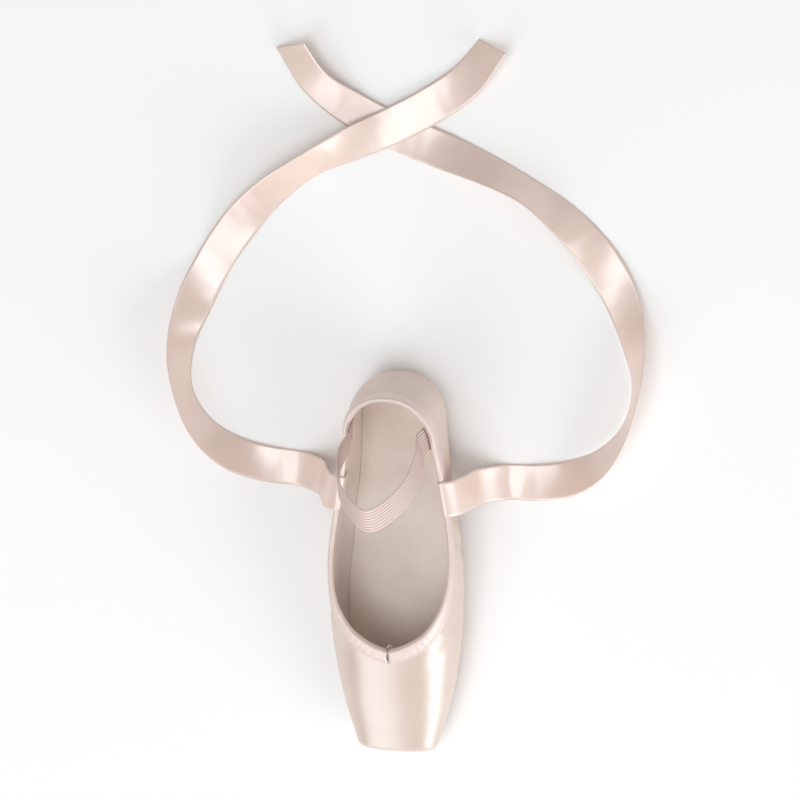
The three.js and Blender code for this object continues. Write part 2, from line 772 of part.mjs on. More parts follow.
// A ribbon rises inside the quarter, goes over the bound edge, falls to the floor and lies there.
function ribbon(name, floorRows, side) {
  const toSide = (p) => new THREE.Vector3(p.x, side * p.y, p.z);
  const across = toSide(collarTangent(RIBBON_SEWN_AT));
  const edge = place(RIBBON_SEWN_AT, collarV(RIBBON_SEWN_AT), OUTSIDE);
  const inside = RIBBON_BELOW_EDGE.map((below) =>
    insideCollar(RIBBON_SEWN_AT, below),
  );
  const falling = RIBBON_FALL.map(({ forward, out, up }) =>
    edge.clone().add(new THREE.Vector3(forward, out, up)),
  );
  const rows = [...inside, ...falling].map((p) => ({ at: toSide(p), across }));
  floorRows.forEach(({ x, y, tilt, lift = 0 }, i) => {
    const before = floorRows[Math.max(0, i - 1)];
    const after = floorRows[Math.min(floorRows.length - 1, i + 1)];
    const level = new THREE.Vector3(after.y - before.y, before.x - after.x, 0);
    const rise = THREE.MathUtils.degToRad(tilt);
    const standing = (RIBBON_WIDTH / 2) * Math.abs(Math.sin(rise));
    level.setLength(side * Math.cos(rise));
    rows.push({
      at: new THREE.Vector3(x, y, standing + RIBBON_THICKNESS + lift),
      across: level.setZ(Math.sin(rise)),
    });
  });
  const geometry = strap(rows, RIBBON_WIDTH, RIBBON_THICKNESS, 72);
  return part(name, geometry, COLOURS.ribbon, 0.3);
}

// ---- The shoe -----------------------------------------------------------------------------------------

const wasm = await Module();
wasm.setup();

const shoe = new THREE.Group();
shoe.add(
  outsole(),
  upper(),
  insole(),
  binding(),
  drawstring(wasm),
  elastic(),
  ribbon("ribbon_right", RIGHT_RIBBON, 1),
  ribbon("ribbon_left", LEFT_RIBBON, -1),
);
// The origin is on the floor, midway between heel and toe.
shoe.position.x = -SHOE_LENGTH / 2;

const assembly = new THREE.Group();
assembly.add(shoe);
export default assembly;
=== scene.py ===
import bmesh
import bpy
import math
from mathutils import Matrix, Vector, noise


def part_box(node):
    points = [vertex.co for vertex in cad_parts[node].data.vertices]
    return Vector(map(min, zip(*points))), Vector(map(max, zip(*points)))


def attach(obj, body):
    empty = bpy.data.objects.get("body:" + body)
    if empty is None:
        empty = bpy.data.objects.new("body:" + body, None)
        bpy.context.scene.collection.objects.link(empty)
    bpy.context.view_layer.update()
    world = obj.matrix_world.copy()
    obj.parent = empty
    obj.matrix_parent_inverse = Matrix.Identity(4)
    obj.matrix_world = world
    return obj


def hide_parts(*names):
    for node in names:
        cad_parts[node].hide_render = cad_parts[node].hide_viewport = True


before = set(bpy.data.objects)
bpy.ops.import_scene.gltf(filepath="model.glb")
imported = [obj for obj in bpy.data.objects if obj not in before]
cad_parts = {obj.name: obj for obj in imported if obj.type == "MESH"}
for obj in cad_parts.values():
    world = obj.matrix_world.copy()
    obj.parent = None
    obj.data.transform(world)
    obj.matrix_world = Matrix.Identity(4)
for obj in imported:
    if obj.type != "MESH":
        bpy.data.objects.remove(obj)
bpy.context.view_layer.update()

# ---- Studio --------------------------------------------------------------------------------------------
# A plain pale floor that runs away on all sides, soft boxes over and beside the shoe, and a long lens
# that looks down on the instep from a little behind and to one side, with the toe at the bottom.

FLOOR_COLOUR = (0.98, 0.963, 0.95, 1.0)
FLOOR_HALF_SIZE = 6
FLOOR_DROP = 0.0001
ROOM_COLOUR = (1.0, 0.99, 0.98, 1.0)
ROOM_BRIGHTNESS = 0.45
LAMP_COLOUR = (0.91, 0.965, 1.0)
CAMERA_DIRECTION = Vector((-0.26, 0.2, 0.945)).normalized()
CAMERA_TARGET = Vector((-0.099, 0.0, 0.012))
CAMERA_DISTANCE = 2.6
VIEW_WIDTH = 0.475
SENSOR_WIDTH = 36


def object_from(bm, name, *materials):
    """The mesh as a smooth-shaded object, with its materials in their slots."""
    mesh = bpy.data.meshes.new(name)
    bm.to_mesh(mesh)
    bm.free()
    piece = bpy.data.objects.new(name, mesh)
    bpy.context.scene.collection.objects.link(piece)
    for material in materials:
        mesh.materials.append(material)
    for face in mesh.polygons:
        face.use_smooth = True
    return piece


def fill(node, inputs):
    """Sets a shader node's inputs: another node's output is linked, anything else is a value."""
    for socket, value in inputs.items():
        if isinstance(value, bpy.types.NodeSocket):
            node.id_data.links.new(value, node.inputs[socket])
        else:
            node.inputs[socket].default_value = value


def new_material(name, colour, roughness):
    material = bpy.data.materials.new(name)
    material.use_nodes = True
    shader = material.node_tree.nodes["Principled BSDF"]
    fill(shader, {"Base Color": colour, "Roughness": roughness})
    return material, material.node_tree, shader


floor_mesh = bmesh.new()
bmesh.ops.create_grid(floor_mesh, x_segments=1, y_segments=1, size=FLOOR_HALF_SIZE)
bmesh.ops.translate(floor_mesh, vec=(0, 0, -FLOOR_DROP), verts=floor_mesh.verts)
paper, _, _ = new_material("pale paper", FLOOR_COLOUR, 0.9)
floor = object_from(floor_mesh, "floor", paper)


def look_from(direction, up):
    """A turn that faces a camera or lamp along -direction, with up at the top of its picture."""
    back = direction.normalized()
    right = up.cross(back).normalized()
    return Matrix((right, back.cross(right), back)).transposed().to_4x4()


camera_data = bpy.data.cameras.new("camera")
camera_data.sensor_width = SENSOR_WIDTH
camera_data.lens = SENSOR_WIDTH * CAMERA_DISTANCE / VIEW_WIDTH
camera = bpy.data.objects.new("camera", camera_data)
bpy.context.scene.collection.objects.link(camera)
heelward = Vector((-1, 0, 0))
camera.matrix_world = Matrix.Translation(
    CAMERA_TARGET + CAMERA_DIRECTION * CAMERA_DISTANCE
) @ look_from(CAMERA_DIRECTION, heelward)
bpy.context.scene.camera = camera


def soft_box(name, place, along, length, width, power):
    """A rectangular lamp that faces the origin, its long side lying nearest to a direction."""
    light = bpy.data.lights.new(name, "AREA")
    light.shape = "RECTANGLE"
    light.size = length
    light.size_y = width
    light.energy = power
    light.color = LAMP_COLOUR
    lamp = bpy.data.objects.new(name, light)
    bpy.context.scene.collection.objects.link(lamp)
    back = Vector(place).normalized()
    lamp.matrix_world = Matrix.Translation(place) @ look_from(back, back.cross(Vector(along)))


# The two strips stand towards the toe and draw the long bright bands on the satin.
soft_box("left strip light", (2.04, -1.2, 1.64), (1, 0, -1), length=3.0, width=1.6, power=26.8)
soft_box("right strip light", (1.64, 2.4, 1.0), (1, -0.7, 0), length=2.6, width=1.7, power=52)
soft_box("overhead light", (0.2, -0.4, 3.7), (1, 0, 0), length=2.4, width=2.0, power=44)

world = bpy.data.worlds.new("studio")
world.use_nodes = True
fill(world.node_tree.nodes["Background"], {"Color": ROOM_COLOUR, "Strength": ROOM_BRIGHTNESS})
bpy.context.scene.world = world
bpy.context.scene.view_settings.view_transform = "Standard"

# ---- Upper ---------------------------------------------------------------------------------------------
# Peach-pink satin over canvas, lasted inside out round a foot-shaped last and turned. The toe box is
# stiffened with layers of paste; the margin is pleated under the foot and held by the outsole.

# Millimetres from here on: x from the back of the heel, y across, z up.
SHOE_LENGTH = 234
BALL_WIDTH = 80
INSTEP_HEIGHT = 80
HEEL_HEIGHT = 54
HEEL_ROUND = 30
HEEL_LEAN = 7
HEEL_ENDS = 60
TOE_EDGE_RADIUS = 4
OUTSOLE_THICKNESS = 2
CLEARANCE = 0.3
SIDE_WALL = 1.6
BOX_WALL = 3
BOX_FROM = 0.66  # share of the length where the wall starts to thicken into the toe box
BOX_BLEND = 0.14
TURNED_UNDER = 1.8
MARGIN_WIDTH = 9
ROUNDNESS = 2.3
SHOE_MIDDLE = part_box("upper")[1].x * 1000 - SHOE_LENGTH

# The last: share of the length, then width and flat underside as shares of the ball width, crown as a
# share of the instep height, height of the widest place, and lift of the underside off the floor.
LAST = [
    (0.0, 0.7, 0.43, 1.03, 17, 0),
    (0.13, 0.715, 0.52, 1.03, 17, 0),
    (0.24, 0.785, 0.47, 1.03, 17.5, 0),
    (0.35, 0.88, 0.38, 1.03, 18, 3.4),
    (0.45, 0.96, 0.45, 0.98, 18.5, 1.8),
    (0.51, 0.985, 0.55, 0.9, 18.5, 0.4),
    (0.58, 1.0, 0.64, 0.775, 18.5, 0),
    (0.64, 0.995, 0.66, 0.675, 18.5, 0),
    (0.7, 0.968, 0.65, 0.606, 18, 0),
    (0.795, 0.895, 0.6, 0.53, 17.5, 0),
    (0.885, 0.785, 0.51, 0.448, 17, 1),
    (0.95, 0.675, 0.42, 0.392, 17, 2.6),
    (1.0, 0.59, 0.33, 0.355, 17, 4),
]
WIDTH, FLAT, CROWN, BULGE, LIFT = range(1, 6)

# Where the collar is cut: share of the length, and degrees up the side from the widest place.
THROAT_AT = 0.7
COLLAR = [
    (0.0, 31.5),
    (0.06, 29),
    (0.15, 22),
    (0.25, 16.6),
    (0.35, 15.2),
    (0.44, 18),
    (0.51, 24.5),
    (0.565, 34.5),
    (0.615, 47.5),
    (0.65, 59.5),
    (0.672, 70.5),
    (0.688, 80.5),
    (THROAT_AT, 90),
]

# The outsole's outline: share of the length, width as a share of the ball width.
OUTSOLE_BACK = 5
OUTSOLE_FRONT = 213
OUTSOLE_END_ROUND = {"back": 20, "front": 26}
OUTSOLE = [
    (0.0, 0.49),
    (0.13, 0.49),
    (0.28, 0.38),
    (0.4, 0.32),
    (0.52, 0.5),
    (0.64, 0.62),
    (0.75, 0.6),
    (0.93, 0.46),
]


def read(table, column, share):
    """The value of a column at a share of the length, on a smooth curve through the rows."""
    last = len(table) - 1
    if share <= table[0][0]:
        return table[0][column]
    if share >= table[last][0]:
        return table[last][column]
    k = next(i for i in range(last) if table[i + 1][0] > share)

    def slope(i):
        return (table[i + 1][column] - table[i][column]) / (table[i + 1][0] - table[i][0])

    def tangent(i):
        if i == 0 or i == last:
            return slope(min(i, last - 1))
        before, after = slope(i - 1), slope(i)
        return 0 if before * after <= 0 else 2 * before * after / (before + after)

    run = table[k + 1][0] - table[k][0]
    t = (share - table[k][0]) / run
    low = table[k][column] * (1 + 2 * t) * (1 - t) ** 2
    high = table[k + 1][column] * t * t * (3 - 2 * t)
    return low + high + run * (tangent(k) * t * (1 - t) ** 2 - tangent(k + 1) * t * t * (1 - t))


def mix(a, b, t):
    return a + (b - a) * t


def clamp(t):
    return min(max(t, 0.0), 1.0)


def smoothstep(t):
    t = clamp(t)
    return t * t * (3 - 2 * t)


def rounded_end(t):
    return 1 if t >= 1 else (1 - (1 - max(t, 0)) ** ROUNDNESS) ** (1 / ROUNDNESS)


def wall_at(s):
    return mix(SIDE_WALL, BOX_WALL, smoothstep((s / SHOE_LENGTH - BOX_FROM) / BOX_BLEND))


def parallel(out, under=0.0):
    """A surface that stands so far outside the last, and so far under it below the foot."""
    return (out if callable(out) else lambda s: out), under


OUTSIDE = parallel(0.0)
LINING = parallel(lambda s: -wall_at(s), -TURNED_UNDER)


def section(s, surface):
    """The height of the sole, widest place and crown, and the half widths of the section at s."""
    out, under = surface
    share = s / SHOE_LENGTH
    side = out(s)
    edge = clamp((s - SHOE_LENGTH + TOE_EDGE_RADIUS) / TOE_EDGE_RADIUS)
    inset = TOE_EDGE_RADIUS * (1 - math.sqrt(1 - edge * edge))
    heel = rounded_end(s / HEEL_ROUND)
    bottom = OUTSOLE_THICKNESS + CLEARANCE + read(LAST, LIFT, share) - under + inset
    crown = INSTEP_HEIGHT * read(LAST, CROWN, share) + side - inset
    half = (BALL_WIDTH / 2 * read(LAST, WIDTH, share) + side - inset) * heel
    flat = (BALL_WIDTH / 2 * read(LAST, FLAT, share) + side / 2) * heel
    return bottom, read(LAST, BULGE, share), crown, half, flat


def bend(value):
    return max(value, 0) ** (2 / ROUNDNESS)


def heel_curve(z, bulge, s):
    """The back of the heel leans forward above its widest place and is rounded under below it."""
    above = max(0, z - bulge) / (HEEL_HEIGHT - bulge)
    below = max(0, bulge - z) / bulge
    return HEEL_LEAN * (above * above + below**3) * (1 - smoothstep(s / HEEL_ENDS))


# A place on a section is called v: 0 to 1 over the flat, to 2 at the widest place, to 3 at the crown.
AT_FLAT_EDGE, AT_WIDEST, AT_CROWN = 1, 2, 3


def place(s, v, surface):
    """The point of the surface at s along the shoe and v round its section."""
    bottom, bulge, crown, half, flat = section(s, surface)
    y, z = flat * v, bottom
    if v > AT_WIDEST:
        angle = (v - AT_WIDEST) * math.pi / 2
        y = half * bend(math.cos(angle))
        z = bulge + (crown - bulge) * bend(math.sin(angle))
    elif v > AT_FLAT_EDGE:
        angle = (v - AT_FLAT_EDGE) * math.pi / 2
        y = flat + (half - flat) * bend(math.sin(angle))
        z = bulge - (bulge - bottom) * bend(math.cos(angle))
    heel_in, toe_in = -surface[0](0), -surface[0](SHOE_LENGTH)
    x = heel_in + s * (SHOE_LENGTH - heel_in - toe_in) / SHOE_LENGTH
    return Vector((x + heel_curve(z, bulge, s), y, z))


def in_metres(p):
    """From the last's millimetres to the shoe's own frame."""
    return Vector(((p[0] + SHOE_MIDDLE) / 1000, p[1] / 1000, p[2] / 1000))


THROAT = THROAT_AT * SHOE_LENGTH
NEARLY = 1e-9


def collar_v(s):
    return AT_WIDEST + read(COLLAR, 1, s / SHOE_LENGTH) / 90


def lengths_along(points):
    """How far each point is from the first, along the line that they make."""
    run = [0.0]
    for a, b in zip(points, points[1:]):
        run.append(run[-1] + (b - a).length)
    return run


def collar_line(steps):
    """The collar's edge over one half, from throat to heel, as evenly spaced (s, v)."""
    fine = 500
    trail = [(THROAT * (1 - (i / fine) ** 2), AT_CROWN) for i in range(fine + 1)]
    trail = [trail[0]] + [(s, collar_v(s)) for s, _ in trail[1:]]
    along = lengths_along([place(s, v, OUTSIDE) for s, v in trail])
    line, i = [], 1
    for j in range(steps + 1):
        target = along[-1] * j / steps
        while i < fine and along[i] < target - NEARLY:
            i += 1
        t = (target - along[i - 1]) / (along[i] - along[i - 1])
        line.append(tuple(mix(a, b, t) for a, b in zip(trail[i - 1], trail[i])))
    return line


def step_down(line, reach):
    """The collar's line moved a short way down the surface, square to itself."""
    small = 0.02
    points = [place(s, v, OUTSIDE) for s, v in line]
    moved = []
    for i, (s, v) in enumerate(line):
        safe_s, safe_v = max(s, small), min(v, AT_CROWN - small)
        here = place(safe_s, safe_v, OUTSIDE)
        toeward = (place(safe_s + small, safe_v, OUTSIDE) - here) / small
        downward = (place(safe_s, safe_v - small, OUTSIDE) - here) / small
        if i == 0:
            moved.append((s + reach / toeward.length, AT_CROWN))
        elif i == len(line) - 1:
            moved.append((0, v - reach / downward.length))
        else:
            tangent = (points[i + 1] - points[i - 1]).normalized()
            ds, dv = downward.dot(tangent), -toeward.dot(tangent)
            down = toeward * ds + downward * dv
            lower = down.z - 0.001 * ds < 0
            scale = (reach if lower else -reach) / down.length
            moved.append((s + ds * scale, v - dv * scale))
    return moved


def moved_down(line, distance):
    """The collar's line moved down over the surface by a distance."""
    step, gone = 0.5, 0.0
    while gone < distance - NEARLY:
        line = step_down(line, min(step, distance - gone))
        gone += step
    return line


def outsole_half(s, inset=0.0):
    """Half the outsole's width at s, with both ends rounded."""
    back = (s - OUTSOLE_BACK - inset) / (OUTSOLE_END_ROUND["back"] - inset)
    front = (OUTSOLE_FRONT - inset - s) / (OUTSOLE_END_ROUND["front"] - inset)
    width = BALL_WIDTH / 2 * read(OUTSOLE, 1, s / SHOE_LENGTH)
    return (width - inset) * rounded_end(back) * rounded_end(front)


RAW_EDGE = 1.4  # from the collar's edge down to the upper's raw edge, inside the binding
RIM_STEPS = 150
UNDER_STEPS = 16
SIDE_STEPS = 46
LINING_STEPS = 26
LINING_UNDER_STEPS = 3
OUTER_STEPS = UNDER_STEPS + SIDE_STEPS + 1
PLATFORM_STEPS = 9
PLATFORM_FALL = 14  # how far the threads run on down the platform
# Close to the back seam, where the heel's end is still less than three millimetres wide.
BACK_SEAM_SHARES = (0.01, 0.02, 0.035, 0.055)
# Stretches with evenly spaced sections: from, to, how many.
STRETCHES = [
    (HEEL_ROUND, 146, 92),
    (146, 172, 44),
    (172, SHOE_LENGTH - TOE_EDGE_RADIUS, 60),
]

# Soft folds in the quarters, each a trough from one place to another in the side view (x, z), with its
# width and depth. The first number is the side: 1 for y > 0, -1 for y < 0.
FOLDS = [
    (1, (95, 33), (112, 9), 3.6, 0.75),
    (1, (106, 36), (121, 17), 3.0, 0.5),
    (1, (84, 29), (92, 8), 3.4, 0.5),
    (1, (72, 27), (62, 8), 4.2, 0.4),
    (1, (121, 30), (143, 15), 4.4, 0.4),
    (1, (26, 34), (12, 14), 4.0, 0.35),
    (-1, (92, 34), (106, 8), 3.4, 0.7),
    (-1, (104, 33), (123, 14), 3.6, 0.55),
    (-1, (80, 30), (86, 9), 3.2, 0.45),
    (-1, (66, 28), (58, 9), 4.4, 0.4),
    (-1, (126, 31), (146, 18), 4.6, 0.35),
    (-1, (30, 33), (17, 12), 4.0, 0.35),
]
# The same across the vamp, seen from above (x, y), where it flexes over the ball.
FLEX_LINES = [
    ((158, 37), (171, 27), 3.2, 0.35),
    ((152, -38), (168, -28), 3.4, 0.35),
    ((146, 39), (153, 33), 2.6, 0.3),
    ((143, -39), (150, -34), 2.6, 0.3),
]
TOE_PLEATS = {"centre": 186, "count": 26, "facing": 1, "reach": 47, "depth": 0.8}
TOE_PLEATS_FROM = 150
HEEL_PLEATS = {"centre": 26, "count": 22, "facing": -1, "reach": 36, "depth": 0.45}
HEEL_PLEATS_TO = 60
PLEAT_RISE = 0.78  # share of a pleat that slopes gently; the rest is its sharp side
SIDE_SEAM_AT = 101
SIDE_SEAM = {"lean": 0.12, "half_width": 0.55, "depth": 0.32}
BACK_SEAM = {"half_width": 0.6, "depth": 0.3}
CLOTH_UNEVEN = 0.16
DIP = {"half_width": 0.9, "length": 7.2, "depth": 1.45}


def trough(here, start, end, width, depth):
    """How deep a soft fold is at a place: a trough with a low ridge beside it, dying out at its ends."""
    run = (end[0] - start[0], end[1] - start[1])
    length = math.hypot(*run)
    along = ((here[0] - start[0]) * run[0] + (here[1] - start[1]) * run[1]) / length**2
    across = ((here[0] - start[0]) * run[1] - (here[1] - start[1]) * run[0]) / length
    fade = smoothstep((along + 0.25) / 0.45) * smoothstep((1.25 - along) / 0.45)
    hollow = math.exp(-((across / width) ** 2))
    ridge = 0.55 * math.exp(-(((across - 1.7 * width) / width) ** 2))
    return depth * fade * (ridge - hollow)


def pleats(p, made):
    """Gathers that run out from under the outsole's end, sharp on one side as pressed cloth is."""
    forward = p.x - made["centre"]
    angle = math.atan2(p.y, forward * made["facing"])
    phase = (angle / math.pi * made["count"] + 0.35 * math.sin(3.1 * angle)) % 1.0
    shape = min(phase / PLEAT_RISE, (1 - phase) / (1 - PLEAT_RISE))
    fade = smoothstep((made["reach"] - math.hypot(forward, p.y)) / 9)
    return -made["depth"] * (1 - smoothstep(shape)) * fade


def folds(p, side_v):
    """The soft folds of the quarters and the vamp, away from the sole."""
    side = 1 if p.y > 0 else -1
    on_quarter = smoothstep((side_v - 1.1) / 0.35) * smoothstep((abs(p.y) - 12) / 8)
    on_vamp = smoothstep((side_v - 1.9) / 0.3)
    out = 0.0
    for of_side, start, end, width, depth in FOLDS:
        if of_side == side:
            out += on_quarter * trough((p.x, p.z), start, end, width, depth)
    for start, end, width, depth in FLEX_LINES:
        out += on_vamp * trough((p.x, p.y), start, end, width, depth)
    return out


def gathers(p, side_v):
    """The pleats round both ends of the sole."""
    under = smoothstep((1.62 - side_v) / 0.5)
    if p.x > TOE_PLEATS_FROM:
        return under * pleats(p, TOE_PLEATS)
    if p.x < HEEL_PLEATS_TO:
        return under * pleats(p, HEEL_PLEATS)
    return 0.0


def seams(p, side_v):
    """The side seam and the back seam: shallow valleys where two pieces of satin meet."""
    seam_x = SIDE_SEAM_AT + SIDE_SEAM["lean"] * (p.z - 20)
    side = math.exp(-(((p.x - seam_x) / SIDE_SEAM["half_width"]) ** 2))
    out = -SIDE_SEAM["depth"] * side * smoothstep((side_v - 1.0) / 0.2)
    if p.x < 12:
        back = math.exp(-((p.y / BACK_SEAM["half_width"]) ** 2))
        out -= BACK_SEAM["depth"] * back * smoothstep((side_v - 1.1) / 0.2)
    return out


def dip_under_slit(p):
    """Under the slit of the binding the satin dips, so that the slit reads as an opening."""
    across = math.exp(-((p.y / DIP["half_width"]) ** 4))
    along = smoothstep((p.x - THROAT + 2) / 2) * smoothstep((THROAT + DIP["length"] - p.x) / 1.5)
    return -DIP["depth"] * across * along


def drawn_cloth(p, side_v):
    """How far the satin stands out from the last at a place, in millimetres."""
    uneven = CLOTH_UNEVEN * noise.noise(Vector((p.x / 26, p.y / 22, p.z / 20)))
    return folds(p, side_v) + gathers(p, side_v) + seams(p, side_v) + uneven + dip_under_slit(p)


def spread(start, end, count, ease=lambda t: t):
    """Places from start towards end, which is left to the next stretch."""
    return [mix(start, end, ease(i / count)) for i in range(count)]


def slow_start(t):
    return 1 - math.cos(t * math.pi / 2)


def slow_end(t):
    return math.sin(t * math.pi / 2)


def upper_stations(*others):
    """Where the upper's sections are taken, closest at the heel's back, the throat and the toe's edge."""
    stations = [HEEL_ROUND * y**ROUNDNESS / ROUNDNESS for y in BACK_SEAM_SHARES]
    stations += spread(0, HEEL_ROUND, 26, slow_start)
    for start, end, count in STRETCHES:
        stations += spread(start, end, count)
    stations += spread(SHOE_LENGTH - TOE_EDGE_RADIUS, SHOE_LENGTH, 10, slow_end)
    return sorted([*stations, SHOE_LENGTH, *others])


def upper_ring(s, start, end):
    """Half a section as (point, v): up the outside from the hole underneath, back down the lining."""
    up = spread(start, AT_FLAT_EDGE, UNDER_STEPS) + spread(AT_FLAT_EDGE, end, SIDE_STEPS) + [end]
    down = spread(end, AT_FLAT_EDGE, LINING_STEPS)
    down += spread(AT_FLAT_EDGE, start, LINING_UNDER_STEPS) + [start]
    ring = [(place(s, v, OUTSIDE), v) for v in up] + [(place(s, v, LINING), v) for v in down]
    return ring + [ring[0]]


def platform_rings(last):
    """The toe's flat end: the last section drawn in to its middle, outside and lining each to its own."""
    outside = (last[0][0] + last[OUTER_STEPS - 1][0]) / 2
    inside = (last[OUTER_STEPS][0] + last[-2][0]) / 2
    middles = [outside] * OUTER_STEPS + [inside] * (len(last) - OUTER_STEPS - 1) + [outside]
    rings = []
    for step in range(1, PLATFORM_STEPS + 1):
        left = 1 - step / PLATFORM_STEPS
        rings.append([(middle.lerp(p, left), v) for middle, (p, v) in zip(middles, last)])
    return rings


ARC_STEPS = 14


def from_crown(s):
    """Distances round the section from the crown, for evenly spaced v from 0 to 3."""
    points = [place(s, k / ARC_STEPS, OUTSIDE) for k in range(AT_CROWN * ARC_STEPS + 1)]
    return lengths_along(points[::-1])[::-1]


def lay_over(bm, rows, cloth_at):
    """Faces over rows of points, with flat cloth coordinates in metres; gives each corner's (i, k)."""
    weave = bm.loops.layers.uv.new("weave")
    long, tall = len(rows) - 1, len(rows[0]) - 1
    bmesh.ops.create_grid(bm, x_segments=long, y_segments=tall, size=0.5)
    spots = {v: (round((v.co.x + 0.5) * long), round((v.co.y + 0.5) * tall)) for v in bm.verts}
    for face in bm.faces:
        for loop in face.loops:
            loop[weave].uv = cloth_at(*spots[loop.vert])
    for vert, (i, k) in spots.items():
        vert.co = rows[i][k]
    return spots


SAME_PLACE = 0.0005


def mirrored(bm):
    """The other half of the shoe added, and the seam between the two closed."""
    bmesh.ops.remove_doubles(bm, verts=bm.verts, dist=SAME_PLACE)
    halves = bm.verts[:] + bm.edges[:] + bm.faces[:]
    bmesh.ops.mirror(bm, geom=halves, merge_dist=SAME_PLACE, axis="Y")
    bmesh.ops.remove_doubles(bm, verts=bm.verts, dist=SAME_PLACE)


def finished(bm):
    """The mesh with its faces turned outwards, in metres and in the shoe's own frame."""
    bmesh.ops.recalc_face_normals(bm, faces=bm.faces)
    for vert in bm.verts:
        vert.co = in_metres(vert.co)
    return bm


def upper_rings():
    """The upper's sections from heel to toe, with the distances round each, and the platform."""
    rim = moved_down(collar_line(RIM_STEPS), RAW_EDGE)
    throat_end = rim[0][0]
    hole = (OUTSOLE_BACK + MARGIN_WIDTH, OUTSOLE_FRONT - MARGIN_WIDTH)

    def rim_v(s):
        if s >= throat_end - 1e-6:
            return AT_CROWN
        i = next(k for k in range(1, len(rim)) if rim[k][0] <= s)
        return mix(rim[i][1], rim[i - 1][1], (s - rim[i][0]) / (rim[i - 1][0] - rim[i][0]))

    def hole_v(s):
        half = outsole_half(s, MARGIN_WIDTH)
        return half / section(s, OUTSIDE)[4] if hole[0] < s < hole[1] and half > 0 else 0

    stations = upper_stations(throat_end, *hole)
    rings = [upper_ring(s, hole_v(s), rim_v(s)) for s in stations]
    return rings + platform_rings(rings[-1]), [from_crown(s) for s in stations]


def upper_mesh():
    """Hollow: satin outside, cotton inside, both halves, with the folds, pleats and seams put in."""
    rings, arcs = upper_rings()

    def cloth_at(i, k):
        # Threads run the length of the shoe and on down the platform.
        p, v = rings[i][k]
        arc = arcs[min(i, len(arcs) - 1)]
        beyond = max(0, i - len(arcs) + 1) / PLATFORM_STEPS
        step = min(int(v * ARC_STEPS), AT_CROWN * ARC_STEPS - 1)
        across = mix(arc[step], arc[step + 1], v * ARC_STEPS - step)
        return across * (1 - beyond) / 1000, (p.x + PLATFORM_FALL * beyond) / 1000

    bm = bmesh.new()
    side_v = bm.verts.layers.float.new("side_v")
    spots = lay_over(bm, [[p for p, _ in ring] for ring in rings], cloth_at)
    for face in bm.faces:
        furthest = max(spots[vert][1] for vert in face.verts)
        face.material_index = 0 if furthest <= OUTER_STEPS else 1
    for vert, (i, k) in spots.items():
        outside = k < OUTER_STEPS or k == len(rings[0]) - 1
        vert[side_v] = rings[i][k][1] if outside else -1
    on_middle = [face for face in bm.faces if all(abs(v.co.y) < 1e-6 for v in face.verts)]
    bmesh.ops.delete(bm, geom=on_middle, context="FACES")
    mirrored(bm)
    bmesh.ops.recalc_face_normals(bm, faces=bm.faces)
    bm.normal_update()
    satin_side = [vert for vert in bm.verts if vert[side_v] >= 0]
    moves = [vert.normal * drawn_cloth(vert.co, vert[side_v]) for vert in satin_side]
    for vert, move in zip(satin_side, moves):
        vert.co += move
    return finished(bm)


def add_node(tree, kind, inputs, **settings):
    node = tree.nodes.new("ShaderNode" + kind)
    for name, value in settings.items():
        setattr(node, name, value)
    fill(node, inputs)
    return node


def cloth_coordinates(tree, scale=(1, 1, 1)):
    """The piece's own flat cloth coordinates: x across the threads, y along them."""
    flat = add_node(tree, "UVMap", {}, uv_map="weave")
    return add_node(tree, "Mapping", {"Vector": flat.outputs["UV"], "Scale": scale}).outputs["Vector"]


def solid_coordinates(tree, scale=(1, 1, 1), turn=0.0):
    """The piece's Object coordinates, stretched, and turned in plan."""
    own = add_node(tree, "TexCoord", {}).outputs["Object"]
    inputs = {"Vector": own, "Scale": scale, "Rotation": (0, 0, turn)}
    return add_node(tree, "Mapping", inputs).outputs["Vector"]


def noise_on(tree, vector, scale, detail=2.0, roughness=0.5):
    inputs = {"Vector": vector, "Scale": scale, "Detail": detail, "Roughness": roughness}
    return add_node(tree, "TexNoise", inputs).outputs["Fac"]


def bands_on(tree, vector, direction, inputs):
    """Straight bands that follow each other in a direction."""
    bands = add_node(tree, "TexWave", {"Vector": vector, **inputs}, bands_direction=direction)
    return bands.outputs["Fac"]


def ramp_of(tree, factor, low, high, start=0.3, end=0.7):
    """A colour that goes from low to high while a texture goes from start to end."""
    ramp = add_node(tree, "ValToRGB", {"Fac": factor})
    first, second = ramp.color_ramp.elements
    first.position, first.color = start, low
    second.position, second.color = end, high
    return ramp.outputs["Color"]


def bump_of(tree, height, strength, distance, under=None, **settings):
    """The normal of a fine relief, laid over the one under it."""
    inputs = {"Height": height, "Strength": strength, "Distance": distance}
    if under:
        inputs["Normal"] = under
    return add_node(tree, "Bump", inputs, **settings).outputs["Normal"]


WHITE = (1, 1, 1, 1)
BLACK = (0, 0, 0, 1)
THREADS_PER_METRE = (9000, 500, 500)
SLUBS_PER_METRE = (2600, 60, 60)
TONES_PER_METRE = (38, 22, 30)
SLUB_TONE = (0.993, 0.991, 0.99, 1)
SLUB_GLOSS = 0.015
SATIN_SHINE = {
    "IOR": 2.0,
    "Specular IOR Level": 1.0,
    "Anisotropic": 0.5,
    "Anisotropic Rotation": 0.25,
    "Sheen Roughness": 0.45,
    "Sheen Tint": (1.0, 0.92, 0.88, 1),
}


